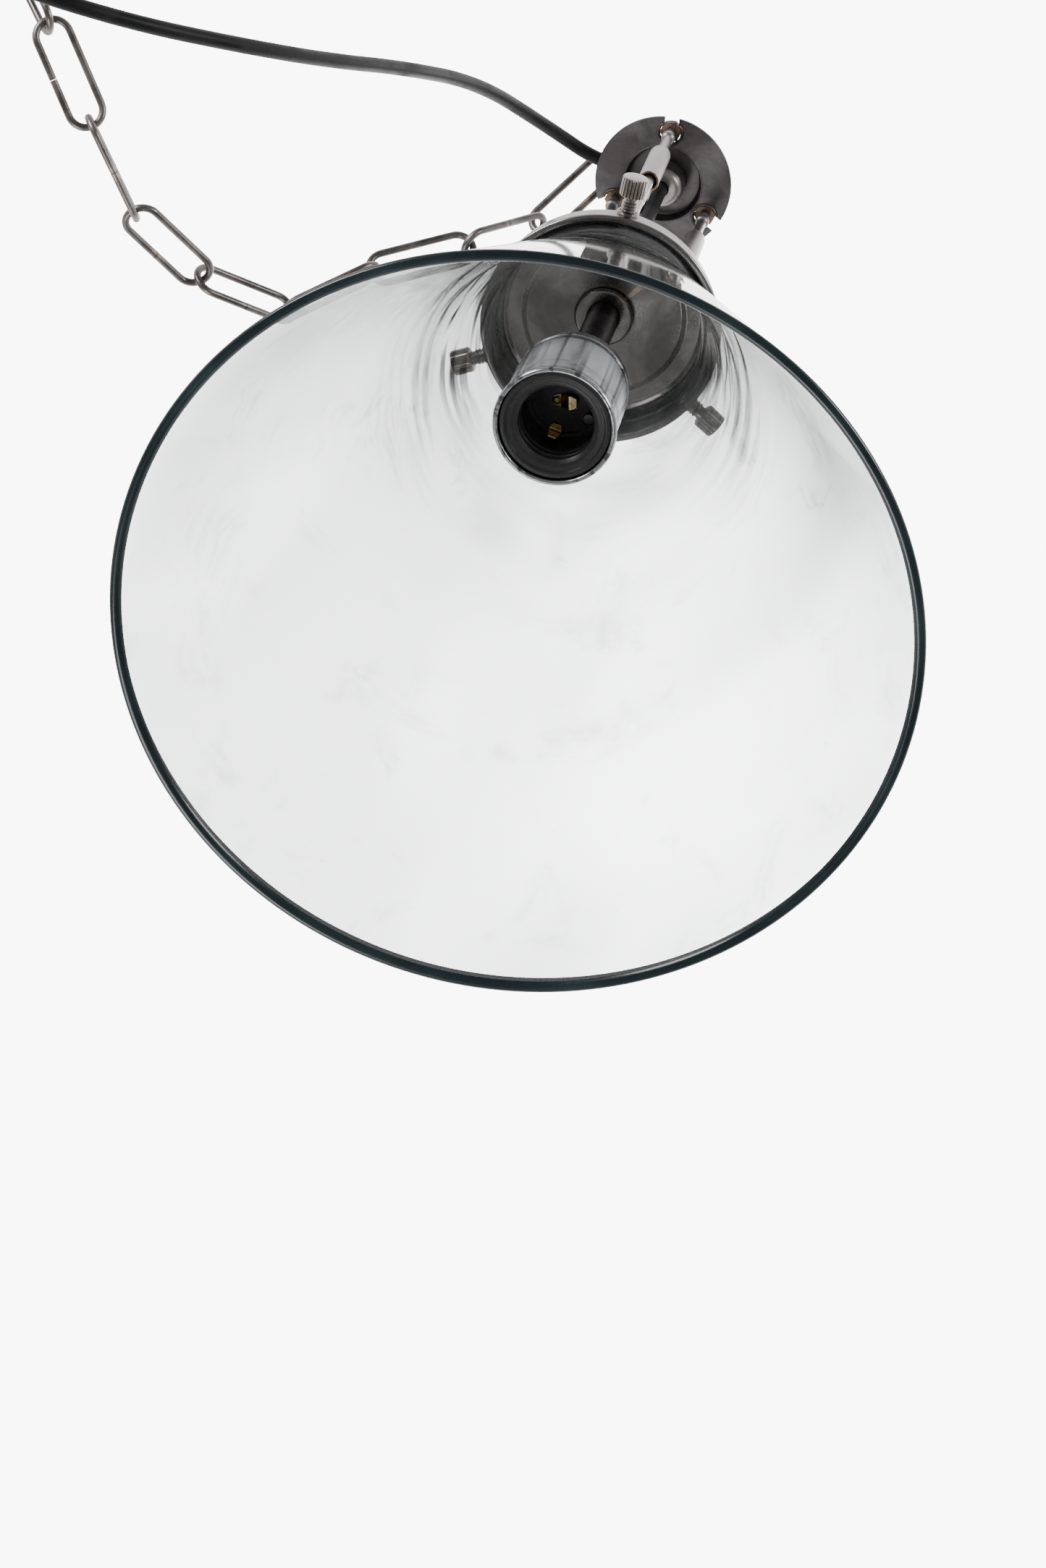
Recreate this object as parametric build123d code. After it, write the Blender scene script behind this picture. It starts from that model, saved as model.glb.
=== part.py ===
"""Pendant lamp: a clear glass cone shade in a three-screw gallery, hung on a stem, a top disc, a chain and a flex.

Millimetres, +Z up. The origin is the centre of the hanging eye's hole. The stem stands on the Z axis, and
the gallery with its shade leans a few degrees on it. Each piece is written to its own STEP file.
"""
from build123d import *
import math
import os

# ---- driving dimensions -------------------------------------------------------------------------------
MOUTH_R = 125.0          # glass shade, outer radius at its mouth
SHADE_DROP = 261.0       # gallery bead down to the shade's mouth
GLASS_WALL = 3.2
FITTER_R = 39.8          # outer radius of the shade's collar, an 80 mm fitter
FITTER_LIP_R = 40.8

DISC_R = 27.9            # top disc
DISC_Z = -30.0           # its lower face at the rim
DISC_T = 1.6
DISC_DISH = 6.0          # how far its middle is pressed up
DISC_DISH_R = 15.0
COLLAR_Z = -37.0         # lower face of the cord-grip collar

GALLERY_R = 44.4         # over the rolled bead
BEAD_Z = -205.3
GALLERY_WALL_R = 42.4
SHEET = 1.0
GALLERY_TOP = BEAD_Z + 16.9
LEAN = 3.1               # gallery and shade lean on the stem
LEAN_AXIS = (0.37, -0.93, 0.0)
LEAN_Z = GALLERY_TOP - SHEET / 2
SCREW_Z = BEAD_Z + 6.9
SCREW_ANGLES = (-78.0, 42.0, 162.0)
SCREW_R = 2.95           # M6 over its thread
SCREW_HEAD_R = 4.7
SCREW_HEAD = (50.6, 58.2)

NIPPLE_R = 6.0
NIPPLE_BORE_R = 4.2
NIPPLE_TOP = -176.0
FLANGE_R = 10.9
FLANGE_Z = -192.2
FLANGE_T = 1.9
SPIDER_R = 26.0
SPIDER_Z = -184.5
SPIDER_T = 2.0

PILLAR_CIRCLE_R = 21.5
PILLAR_ANGLES = (-83.0, 37.0, 157.0)
STEM_R = 2.3
SLEEVE_R = 4.2
NECK_R = 1.9
SLEEVE = (-94.0, -56.0)
PILLAR_TOP = -23.0
SLOT_W = 6.2

HOLDER_RIM_Z = -303.7
HOLDER_R = 21.7          # over the rolled rim
SKIRT_R = 20.6
SKIRT_TOP = -266.5
CAP_TOP = -243.0
SOCKET_R = 13.2          # bore of the lamp socket
SOCKET_FLOOR = -277.0
THREAD_END = SOCKET_FLOOR - 12.0   # the thread stops here, below the side contact
WELL_R = 13.9            # wall above the thread, round the contacts
SPIGOT_R = 18.65         # the cap's spigot, inside the skirt

EYE_R, EYE_BORE_R, EYE_T = 15.0, 10.0, 5.0
HOOD_R = 9.5
DISC_NIPPLE_R = 5.0
DISC_NIPPLE_BORE_R = 3.9
HOOD = (-22.4, -12.8)

FLEX_R = 2.8
CORE_R = 1.1             # one insulated core of the flex
HOOD_BEND_R = 5.0        # the flex's bend inside the hood, stripped of slack
FLEX_EXIT = (-10.8, -1.0, -17.5)
FLEX_ROUTE = (
    FLEX_EXIT, (-26, -2.4, -17.5), (-48.5, -22, -30), (-67.5, -52.3, -76.7), (-85, -74.6, -137.5),
    (-101.6, -90.5, -187.2), (-122.4, -106.8, -230.3), (-155.7, -123.4, -264.4), (-196.5, -140.4, -280.9),
    (-231, -153, -262), (-249, -150, -216), (-254.5, -142, -166), (-254, -135.6, -118), (-251.7, -132.6, -87),
    (-251.7, -132.6, -54),
)

WIRE_R = 1.5             # chain wire
LINK_W = 16.5            # over one link's width
LINK_L = 46.5            # over one link's length
LINK_PLAY = 0.4          # play between two links where they bear on each other
TURN_PLAY = 0.6          # share of the bearing's depth added as two neighbours turn on each other
CHAIN_HEADINGS = (       # plan angle and rise of each link, from the lamp to the rose
    (139, -32), (182, -53), (169, -23), (160, -35), (211, -25),
    (234, -23), (248, -4), (244, 12), (230, 34), (226, 70),
)
CHAIN_ROLLS = (40, 160, 45, 130, 75, 0, 110, 30, 135, 45)
RING_R = 10.4            # jump ring between the eye and the chain, to the middle of its wire
RING_DIRECTION = (-0.97, 0.0, -0.25)
RING_ROLL = -28.0
RING_PLAY = 0.5

ROSE_EYE_R = 8.5         # eye bolt under the ceiling rose, to the middle of its wire
ROSE_EYE_WIRE_R = 2.0
CANOPY_R = 30.0
CANOPY_FLOOR_R = 23.0
CANOPY_T = 1.2
CANOPY_Z = (-42.0, -23.0)
ROSE_SCREW_ANGLES = (0, 180)
FIXING_PCD = 40.0        # the two ceiling screws' holes in the fixing bar


# ---- helpers ------------------------------------------------------------------------------------------
def spun(points, z_axis=True):
    """Solid of revolution about Z from (radius, height) points."""
    outline = Polyline(*[(r, 0, z) for r, z in points], close=True)
    return revolve(make_face(outline), Axis.Z)


def tube(r_out, r_in, z0, z1):
    return spun([(r_in, z0), (r_out, z0), (r_out, z1), (r_in, z1)])


def rod(r, z0, z1):
    return Pos(0, 0, z0) * Cylinder(r, z1 - z0, align=(Align.CENTER, Align.CENTER, Align.MIN))


def at_angle(shape, angle, radius=0.0):
    return Rot(0, 0, angle) * Pos(radius, 0, 0) * shape


def hex_nut(across, z0, z1, bore):
    nut = Pos(0, 0, z0) * extrude(RegularPolygon(across / 2, 6, major_radius=False), z1 - z0)
    return nut - rod(bore, z0 - 1, z1 + 1)


def leaned(shape):
    """Tip a piece of the gallery by the lean, about the gallery's seat on the stem."""
    return shape.rotate(Axis((0, 0, LEAN_Z), LEAN_AXIS), LEAN)


def unit(v):
    return Vector(*v).normalized()


def along(origin, direction, width_direction):
    """Location whose X runs along direction and whose Y is the given width direction."""
    x = unit(direction)
    w = unit(width_direction)
    z = x.cross(w).normalized()
    return Plane(origin=origin, x_dir=x, z_dir=z).location


def corner_radii(points):
    """Arc radius at each corner: 0.45 of the shorter run, divided by the tangent of half the turn."""
    radii = []
    for a, b, c in zip(points, points[1:], points[2:]):
        u, v = Vector(*b) - Vector(*a), Vector(*c) - Vector(*b)
        turn = math.radians(u.get_angle(v))
        radii.append(0.45 * min(u.length, v.length) / math.tan(turn / 2))
    return radii


def cord(points, radius, radii):
    """Round cord along straight runs joined by tangent arcs. Returns the solid and its length."""
    path = FilletPolyline(*points, radius=radii)
    start = Plane(origin=points[0], z_dir=Vector(*points[1]) - Vector(*points[0]))
    return sweep(start * Circle(radius), path=path), path.length


os.makedirs("parts", exist_ok=True)
made = {}


def keep(name, shape):
    made[name] = shape


# ---- hanging eye, hood and top disc ---------------------------------------------------------------------
def hanging_eye():
    """Ring with rounded edges on a hollow hood; the flex leaves through the hood's side."""
    ring = Rot(90, 0, 0) * (Cylinder(EYE_R, EYE_T) - Cylinder(EYE_BORE_R, EYE_T + 2))
    ring = fillet(ring.edges().filter_by(GeomType.CIRCLE), 1.4)
    low, high = HOOD
    hood = spun([(0, high), (6.8, high), (HOOD_R - 0.6, high - 1.0), (HOOD_R, high - 3.0), (HOOD_R, low), (0, low)])
    hollow = spun([(0, high - 1.6), (6.4, high - 1.6), (HOOD_R - 1.4, high - 3.2), (HOOD_R - 1.4, low + 2.0), (0, low + 2.0)])
    exit_angle = math.degrees(math.atan2(FLEX_EXIT[1], FLEX_EXIT[0]))
    outlet = Pos(0, 0, FLEX_EXIT[2]) * Rot(0, 0, exit_angle) * Pos(8, 0, 0) * Rot(0, 90, 0) * Cylinder(FLEX_R + 0.15, 12)
    return ring + hood - hollow - outlet - rod(DISC_NIPPLE_R + 0.02, low - 1, low + 4)


def top_disc():
    """Dished disc with a keyhole notch for each pillar and a raised lip round each hole."""
    z0, z1 = DISC_Z, DISC_Z + DISC_DISH
    t = DISC_T
    disc = spun([
        (DISC_NIPPLE_R + 0.02, z1), (DISC_DISH_R - 0.6, z1), (DISC_DISH_R + 0.4, z0), (DISC_R, z0), (DISC_R, z0 + t),
        (DISC_DISH_R + 1.4, z0 + t), (DISC_DISH_R + 0.4, z1 + t), (DISC_NIPPLE_R + 0.02, z1 + t),
    ])
    disc = fillet(disc.edges().filter_by(GeomType.CIRCLE).group_by(SortBy.RADIUS)[-1], 0.6)
    for angle in PILLAR_ANGLES:
        hole_r = SLOT_W / 2 + 1.2
        lip = tube(hole_r + 1.3, hole_r, z0 - 0.9, z0 + 0.4)
        hole = rod(hole_r, z0 - 2, z1 + 4)
        slot = Pos(SLOT_W, 0, z0) * Box(2 * SLOT_W, SLOT_W, 6)
        disc = disc + at_angle(lip, angle, PILLAR_CIRCLE_R)
        disc = disc - at_angle(hole + slot, angle, PILLAR_CIRCLE_R)
    return disc


keep("hanging_eye", hanging_eye())
keep("top_disc", top_disc())
keep("disc_nipple", tube(DISC_NIPPLE_R, DISC_NIPPLE_BORE_R, COLLAR_Z + 2.0, HOOD[0] + 1.4))
keep("cord_collar", spun([
    (DISC_NIPPLE_R + 0.02, DISC_Z + DISC_DISH), (8.7, DISC_Z + DISC_DISH), (8.7, COLLAR_Z + 3.6),
    (7.9, COLLAR_Z + 1.2), (6.4, COLLAR_Z), (FLEX_R + 0.3, COLLAR_Z), (FLEX_R + 0.3, COLLAR_Z + 2.0),
    (DISC_NIPPLE_R + 0.02, COLLAR_Z + 2.0),
]))


# ---- three pillars ---------------------------------------------------------------------------------------
def pillar():
    """Stepped pillar: a foot and stem, a sleeve open at its lower end, a neck and a small round collar."""
    s0, s1 = SLEEVE
    body = spun([
        (0, SPIDER_Z + SPIDER_T), (3.6, SPIDER_Z + SPIDER_T), (3.6, -178.0), (STEM_R, -176.5), (STEM_R, s0 + 7),
        (SLEEVE_R - 0.8, s0 + 7), (SLEEVE_R - 0.8, s0), (SLEEVE_R, s0), (SLEEVE_R, s1 - 4), (SLEEVE_R - 0.7, s1 - 1.6),
        (NECK_R + 0.4, s1), (NECK_R, s1 + 0.8), (NECK_R, DISC_Z - 8.5), (2.6, DISC_Z - 7.9), (2.9, DISC_Z - 6.5),
        (2.6, DISC_Z - 5.1), (NECK_R, DISC_Z - 4.5), (NECK_R, PILLAR_TOP), (0, PILLAR_TOP),
    ])
    return body


for number, angle in enumerate(PILLAR_ANGLES, 1):
    keep(f"pillar_{number}", at_angle(pillar(), angle, PILLAR_CIRCLE_R))
nut_on_disc = hex_nut(8.0, DISC_Z + DISC_T, DISC_Z + DISC_T + 3.2, NECK_R + 0.02)
keep("pillar_nuts", Compound(children=[at_angle(nut_on_disc, a, PILLAR_CIRCLE_R) for a in PILLAR_ANGLES]))


# ---- stem: nipple, flange, spider plate and nuts -----------------------------------------------------------
keep("nipple_tube", tube(NIPPLE_R, NIPPLE_BORE_R, CAP_TOP - 6.0, NIPPLE_TOP))
keep("flange_washer", spun([
    (NIPPLE_R + 0.02, FLANGE_Z), (FLANGE_R - 0.7, FLANGE_Z), (FLANGE_R, FLANGE_Z + 0.7),
    (FLANGE_R, FLANGE_Z + FLANGE_T), (NIPPLE_R + 0.02, FLANGE_Z + FLANGE_T),
]))
spider_hub_z = GALLERY_TOP + 0.95
spider = tube(SPIDER_R, NIPPLE_R + 0.02, SPIDER_Z, SPIDER_Z + SPIDER_T)
spider = spider + tube(9.0, NIPPLE_R + 0.02, spider_hub_z, SPIDER_Z)
keep("spider_plate", spider)
keep("locknut", hex_nut(17.0, SPIDER_Z + SPIDER_T, SPIDER_Z + SPIDER_T + 4.0, NIPPLE_R + 0.02))
keep("nipple_bush", spun([
    (3.0, NIPPLE_TOP - 5), (NIPPLE_BORE_R - 0.02, NIPPLE_TOP - 5), (NIPPLE_BORE_R - 0.02, NIPPLE_TOP),
    (NIPPLE_R - 0.4, NIPPLE_TOP), (NIPPLE_R - 1.0, NIPPLE_TOP + 1.6), (3.0, NIPPLE_TOP + 1.6),
]))


# ---- gallery, shade and thumbscrews --------------------------------------------------------------------------
def gallery():
    """Spun cup with stepped top, straight wall and rolled bead."""
    top, w, t = GALLERY_TOP, GALLERY_WALL_R, SHEET
    cup = spun([
        (7.2, top), (29.0, top), (31.0, top - 1.4), (36.0, top - 1.4), (37.2, top - 2.6), (40.6, top - 2.8),
        (w, top - 4.6), (w, BEAD_Z + 1.3), (w - t, BEAD_Z + 1.3), (w - t, top - 5.0), (40.1, top - 3.8),
        (36.7, top - 3.6), (35.5, top - 2.4), (30.5, top - 2.4), (28.6, top - t), (7.2, top - t),
    ])
    bead = Pos(0, 0, BEAD_Z + 1.3) * Torus(GALLERY_R - 1.3, 1.3)
    cup = cup + bead
    for angle in SCREW_ANGLES:
        hole = Pos(GALLERY_WALL_R, 0, SCREW_Z) * Rot(0, 90, 0) * Cylinder(SCREW_R + 0.07, 12)
        cup = cup - at_angle(hole, angle)
    return cup


def screw_boss():
    boss = Pos(GALLERY_WALL_R + 1.2, 0, SCREW_Z) * Rot(0, 90, 0) * Cylinder(4.0, 2.6)
    boss = boss - rod(GALLERY_WALL_R + 0.05, BEAD_Z - 5, GALLERY_TOP)
    return boss - Pos(GALLERY_WALL_R, 0, SCREW_Z) * Rot(0, 90, 0) * Cylinder(SCREW_R + 0.07, 12)


def thumbscrew():
    """Threaded shank with a straight-knurled head; the thread and knurl are grooves."""
    tip, start, end = FITTER_R + 0.3, *SCREW_HEAD
    points = [(0, tip), (SCREW_R - 0.7, tip), (SCREW_R, tip + 0.8)]
    pitch, x = 1.25, 45.6
    while x < start - 1.2:
        points += [(SCREW_R, x), (SCREW_R - 0.55, x + pitch / 2)]
        x += pitch
    points += [(SCREW_R - 0.3, start), (SCREW_HEAD_R - 0.5, start), (SCREW_HEAD_R, start + 0.6)]
    points += [(SCREW_HEAD_R, end - 0.7), (SCREW_HEAD_R - 0.9, end), (0, end)]
    screw = spun(points)
    grooves = 22
    for k in range(grooves):
        groove = Pos(SCREW_HEAD_R + 0.12, 0, (start + end) / 2) * Cylinder(0.42, end - start + 2)
        screw = screw - Rot(0, 0, k * 360 / grooves) * groove
    return Pos(0, 0, SCREW_Z) * Rot(0, 90, 0) * screw


def glass_shade():
    """Cone with a fitter collar and lip at the top, one wall thickness throughout."""
    mouth_z = BEAD_Z - SHADE_DROP
    neck_z = BEAD_Z - 5.0
    lip_top = BEAD_Z + 11.9
    outer = [(FITTER_LIP_R, lip_top), (FITTER_LIP_R, lip_top - 1.3), (FITTER_R, lip_top - 1.8), (FITTER_R, neck_z)]
    slope = math.atan2(MOUTH_R - FITTER_R, neck_z - mouth_z)
    side = GLASS_WALL / math.cos(slope)
    drop = GLASS_WALL * math.tan(slope / 2)
    collar_wall = 2.8
    inner_top = FITTER_R - collar_wall
    inner = [(MOUTH_R - side, mouth_z), (inner_top + 0.3, neck_z - drop), (inner_top, neck_z + 3), (inner_top, lip_top)]
    shape = spun(outer + [(MOUTH_R, mouth_z)] + inner)
    mouth_edges = shape.edges().filter_by(GeomType.CIRCLE).group_by(Axis.Z)[0]
    return fillet(mouth_edges, 1.2)


keep("gallery", leaned(gallery()))
keep("gallery_bosses", Compound(children=[leaned(at_angle(screw_boss(), a)) for a in SCREW_ANGLES]))
keep("glass_shade", leaned(glass_shade()))
for number, angle in enumerate(SCREW_ANGLES, 1):
    keep(f"thumbscrew_{number}", leaned(at_angle(thumbscrew(), angle)))


# ---- lampholder ------------------------------------------------------------------------------------------------
def holder_skirt():
    wall = 0.8
    shell = spun([
        (SKIRT_R + 0.2, HOLDER_RIM_Z + 2.0), (SKIRT_R, HOLDER_RIM_Z + 6), (SKIRT_R - 0.3, SKIRT_TOP - 1.6),
        (SKIRT_R - 1.0, SKIRT_TOP), (SKIRT_R - 1.6, SKIRT_TOP), (SKIRT_R - wall - 0.3, SKIRT_TOP - 1.6),
        (SKIRT_R - wall, HOLDER_RIM_Z + 6), (SKIRT_R - wall + 0.2, HOLDER_RIM_Z + 2.0),
    ])
    return shell + Pos(0, 0, HOLDER_RIM_Z + 1.1) * Torus(HOLDER_R - 1.1, 1.1)


def holder_cap():
    """Domed cap: a threaded boss on the nipple, a flare, and a plain spigot inside the skirt."""
    z, top = SKIRT_TOP, CAP_TOP
    spigot = SPIGOT_R
    return spun([
        (NIPPLE_R + 0.02, top), (8.0, top), (8.4, top - 5.0), (11.0, top - 8.5), (16.5, top - 12.5), (19.6, top - 18.0),
        (20.2, z + 1.2), (20.2, z + 0.4), (spigot, z + 0.4), (spigot, z - 5.5), (spigot - 1.2, z - 5.5),
        (spigot - 1.2, z + 1.5), (18.4, top - 18.0), (15.6, top - 13.7), (10.0, top - 9.7), (NIPPLE_R + 0.02, top - 8.0),
    ])


def holder_liner():
    """Black liner: stepped face, then the socket's bore with rings of thread cut into it."""
    z = HOLDER_RIM_Z
    out = SKIRT_R - 1.2
    points = [
        (out, z + 1.6), (17.6, z + 1.6), (17.4, z + 2.4), (15.2, z + 2.4), (SOCKET_R + 0.8, z + 3.0), (SOCKET_R, z + 3.8),
    ]
    pitch, depth, ring = 3.6, 0.8, z + 5.6
    while ring + pitch < THREAD_END:
        points += [(SOCKET_R, ring), (SOCKET_R + depth, ring + 0.9), (SOCKET_R + depth, ring + 1.5), (SOCKET_R, ring + 2.4)]
        ring += pitch
    points += [(SOCKET_R, THREAD_END), (WELL_R, THREAD_END), (WELL_R, SOCKET_FLOOR)]
    points += [(out - 1.2, SOCKET_FLOOR), (out - 1.2, SOCKET_FLOOR - 8), (out, SOCKET_FLOOR - 9)]
    return spun(points)


def holder_core():
    """Black base of the socket, with a raised bar across it and pockets for the terminals."""
    core = rod(17.0, SOCKET_FLOOR, SOCKET_FLOOR + 5.0) + rod(SPIGOT_R - 1.25, SOCKET_FLOOR + 5, SOCKET_FLOOR + 9.0)
    core = core - tube(12.4, 9.0, SOCKET_FLOOR - 1, SOCKET_FLOOR + 1.6)
    for x in (-TERMINAL_X, TERMINAL_X):
        core = core - Pos(x, 0, SOCKET_FLOOR + 7.5) * Box(6.4, 7.0, 3.2)
    return core - rod(1.25, SOCKET_FLOOR - 1, SOCKET_FLOOR + 12)


TERMINAL_X = 8.0
CENTRE_TIP = -11.0
CONTACT_T = 0.6
SIDE_ANGLE = 109.0


def centre_contact():
    """Brass tongue, riveted at one end and sprung down at the other, with a hole near its tip."""
    z = SOCKET_FLOOR - 0.05
    tongue = Polyline((-4.6, 0, z), (-1.6, 0, z), (1.4, 0, z - 2.6), (4.2, 0, z - 2.6), (4.2, 0, z - 2.6 - CONTACT_T),
                      (1.15, 0, z - 2.6 - CONTACT_T), (-1.85, 0, z - CONTACT_T), (-4.6, 0, z - CONTACT_T), close=True)
    strip = extrude(make_face(tongue), 2.5, dir=(0, 1, 0), both=True)
    return strip - Pos(2.9, 0, z - 3) * Cylinder(1.0, 4)


def side_contact():
    """Brass strip that stands on the base beside the bore's wall and leans in."""
    z = SOCKET_FLOOR - 0.05
    outline = Polyline((12.6, 0, z), (9.4, 0, z), (9.4, 0, z - CONTACT_T), (11.9, 0, z - CONTACT_T), (11.4, 0, z - 7.5),
                       (9.9, 0, z - 11.0), (10.5, 0, z - 11.3), (12.0, 0, z - 7.6), (12.6, 0, z - CONTACT_T), close=True)
    strip = extrude(make_face(outline), 2.3, dir=(0, 1, 0), both=True)
    return at_angle(strip, SIDE_ANGLE)


keep("holder_skirt", holder_skirt())
keep("holder_cap", holder_cap())
keep("holder_liner", holder_liner())
keep("holder_core", holder_core())
keep("centre_contact", centre_contact())
keep("side_contact", side_contact())
terminal = Box(6.2, 6.6, 3.0) - Cylinder(CORE_R + 0.05, 8)
keep("terminals", Compound(children=[Pos(x, 0, SOCKET_FLOOR + 7.5) * terminal for x in (-TERMINAL_X, TERMINAL_X)]))


# ---- flex inside the lamp ----------------------------------------------------------------------------------------
flex_end = CAP_TOP - 2.0
inside = (FLEX_EXIT, (0, 0, FLEX_EXIT[2]), (0, 0, flex_end))
flex_inside, inside_length = cord(inside, FLEX_R, [HOOD_BEND_R])
keep("flex_inside", flex_inside)
wires = []
for side in (-1, 1):
    x0, x1 = side * 1.35, side * TERMINAL_X
    route = ((x0, 0, flex_end), (x0, 0, flex_end - 5), (x1, 0, flex_end - 14), (x1, 0, SOCKET_FLOOR + 7.5))
    wire, wire_length = cord(route, CORE_R, corner_radii(route))
    wires.append(wire)
keep("flex_cores", Compound(children=wires))
print("core radii", [round(r, 1) for r in corner_radii(route)], "length", round(wire_length, 1))


# ---- chain ---------------------------------------------------------------------------------------------------------
def chain_link(middle, direction, width_direction):
    """One oblong link, with the butt joint of its wire half-way along one side."""
    bend = LINK_W / 2 - WIRE_R
    straight = LINK_L - 2 * WIRE_R - 2 * bend
    link = None
    for s in (-1, 1):
        end_arc = Torus(bend, WIRE_R) & Pos(s * LINK_W, 0, 0) * Box(2 * LINK_W, 3 * LINK_W, 8)
        link_end = Pos(s * straight / 2, 0, 0) * end_arc
        side = Pos(0, s * bend, 0) * Rot(0, 90, 0) * Cylinder(WIRE_R, straight)
        link = link_end + side if link is None else link + link_end + side
    joint = Pos(0, bend, 0) * Rot(0, 90, 0) * (Cylinder(WIRE_R + 1, 0.35) - Cylinder(WIRE_R - 0.3, 1))
    link = link - joint
    return along(middle, direction, width_direction) * link


def width_of(direction, roll):
    """Width direction of a link: level across the link, then rolled about it."""
    d = unit(direction)
    level = d.cross(Vector(0, 0, 1)).normalized()
    other = d.cross(level)
    r = math.radians(roll)
    return level * math.cos(r) + other * math.sin(r)


def heading(plan, rise):
    plan, rise = math.radians(plan), math.radians(rise)
    return Vector(math.cos(plan) * math.cos(rise), math.sin(plan) * math.cos(rise), math.sin(rise))


def bearing_depth(before, after):
    """From the bearing point to the middle of either wire: more where the chain turns."""
    return (2 * WIRE_R + LINK_PLAY) / 2 * (1 + TURN_PLAY * (1 - before.dot(after)))


directions = [heading(*h) for h in CHAIN_HEADINGS]
ring_direction = unit(RING_DIRECTION)
ring_level = Vector(0, 1, 0)
ring_up = ring_direction.cross(ring_level)
ring_roll = math.radians(RING_ROLL)
ring_width = ring_level * math.cos(ring_roll) + ring_up * math.sin(ring_roll)
ring_middle = ring_direction * (EYE_BORE_R - WIRE_R - RING_PLAY + RING_R)
keep("jump_ring", along(ring_middle, ring_direction, ring_width) * Torus(RING_R, WIRE_R))
print("jump_ring", [round(v, 3) for v in (*ring_middle, *ring_direction)])

bearing = ring_middle + ring_direction * (RING_R - bearing_depth(ring_direction, directions[0]))
centreline = LINK_L - 2 * WIRE_R
for index, (direction, roll) in enumerate(zip(directions, CHAIN_ROLLS)):
    before = directions[index - 1] if index else ring_direction
    wire_start = bearing - direction * bearing_depth(before, direction)
    wire_end = wire_start + direction * centreline
    middle = (wire_start + wire_end) * 0.5
    name = f"chain_link_{index + 1}"
    keep(name, chain_link(middle, direction, width_of(direction, roll)))
    print(name, [round(v, 3) for v in (*middle, *direction)])
    if index + 1 < len(directions):
        bearing = wire_end - direction * bearing_depth(direction, directions[index + 1])


# ---- ceiling rose with its eye bolt -------------------------------------------------------------------------------------
eye_wire = wire_end - direction * (WIRE_R + ROSE_EYE_WIRE_R + LINK_PLAY)
last_width = width_of(direction, CHAIN_ROLLS[-1])
rose = Vector(eye_wire.X, eye_wire.Y, 0)
rose_eye_z = eye_wire.Z + ROSE_EYE_R


def rose_eye():
    """Eye bolt: a closed ring that faces along the last link's width, on a threaded stem."""
    ring_plane = Plane(origin=(0, 0, rose_eye_z), z_dir=(last_width.X, last_width.Y, 0))
    ring = ring_plane * Torus(ROSE_EYE_R, ROSE_EYE_WIRE_R)
    stem = rod(2.5, rose_eye_z + ROSE_EYE_R, CANOPY_Z[0] + 7)
    collar = rod(4.0, CANOPY_Z[0] - 1.5, CANOPY_Z[0])
    return Pos(rose.X, rose.Y, 0) * (ring + stem + collar)


def canopy():
    z0, z1 = CANOPY_Z
    dish = spun([
        (2.6, z0), (CANOPY_FLOOR_R, z0), (CANOPY_R - 2.4, z0 + 5), (CANOPY_R, z0 + 12), (CANOPY_R, z1),
        (CANOPY_R - CANOPY_T, z1), (CANOPY_R - CANOPY_T, z0 + 12.2), (CANOPY_R - 3.4, z0 + 5.8),
        (CANOPY_FLOOR_R - 0.5, z0 + CANOPY_T), (2.6, z0 + CANOPY_T),
    ])
    gland_hole = Pos(gland.X - rose.X, gland.Y - rose.Y, z0) * Cylinder(4.05, 6)
    for angle in ROSE_SCREW_ANGLES:
        screw_hole = Pos(CANOPY_R, 0, z1 - 6.0) * Rot(0, 90, 0) * Cylinder(1.55, 8)
        dish = dish - at_angle(screw_hole, angle)
    return Pos(rose.X, rose.Y, 0) * (dish - gland_hole)


gland = Vector(FLEX_ROUTE[-1][0], FLEX_ROUTE[-1][1], 0)
print("rose middle", [round(v, 2) for v in (rose.X, rose.Y, rose_eye_z)])
keep("rose_eye", rose_eye())
keep("ceiling_rose", canopy())
z0, z1 = CANOPY_Z
keep("rose_nut", Pos(rose.X, rose.Y, 0) * hex_nut(10.0, z0 + CANOPY_T, z0 + CANOPY_T + 3.5, 2.52))
flex_end_z = FLEX_ROUTE[-1][2]
gland_body = spun([
    (FLEX_R + 0.1, flex_end_z), (3.7, flex_end_z), (6.0, z0 - 6), (6.0, z0), (4.0, z0), (4.0, z0 + 5),
    (FLEX_R + 0.1, z0 + 5),
])
keep("rose_gland", Pos(gland.X, gland.Y, 0) * gland_body)
bar = Pos(0, 0, z1 - 1.0) * (Box(2 * CANOPY_R - 5, 9, 2) - Cylinder(3.2, 4))
for x in (-FIXING_PCD / 2, FIXING_PCD / 2):
    bar = bar - Pos(x, 0, z1 - 1.0) * Cylinder(2.2, 4)
tabs = [Pos(s * (CANOPY_R - 3.5), 0, z1 - 5.0) * Box(2, 9, 8) for s in (-1, 1)]
keep("rose_bar", Pos(rose.X, rose.Y, 0) * Rot(0, 0, ROSE_SCREW_ANGLES[0]) * (bar + tabs[0] + tabs[1]))
side_screw = Pos(0, 0, z1 - 6.0) * Rot(0, 90, 0) * (
    Pos(0, 0, CANOPY_R + 0.9) * Cylinder(2.7, 1.8) + Pos(0, 0, CANOPY_R - 1.2) * Cylinder(1.5, 2.6))
keep("rose_screws", Pos(rose.X, rose.Y, 0) * Compound(children=[at_angle(side_screw, a) for a in ROSE_SCREW_ANGLES]))


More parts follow.
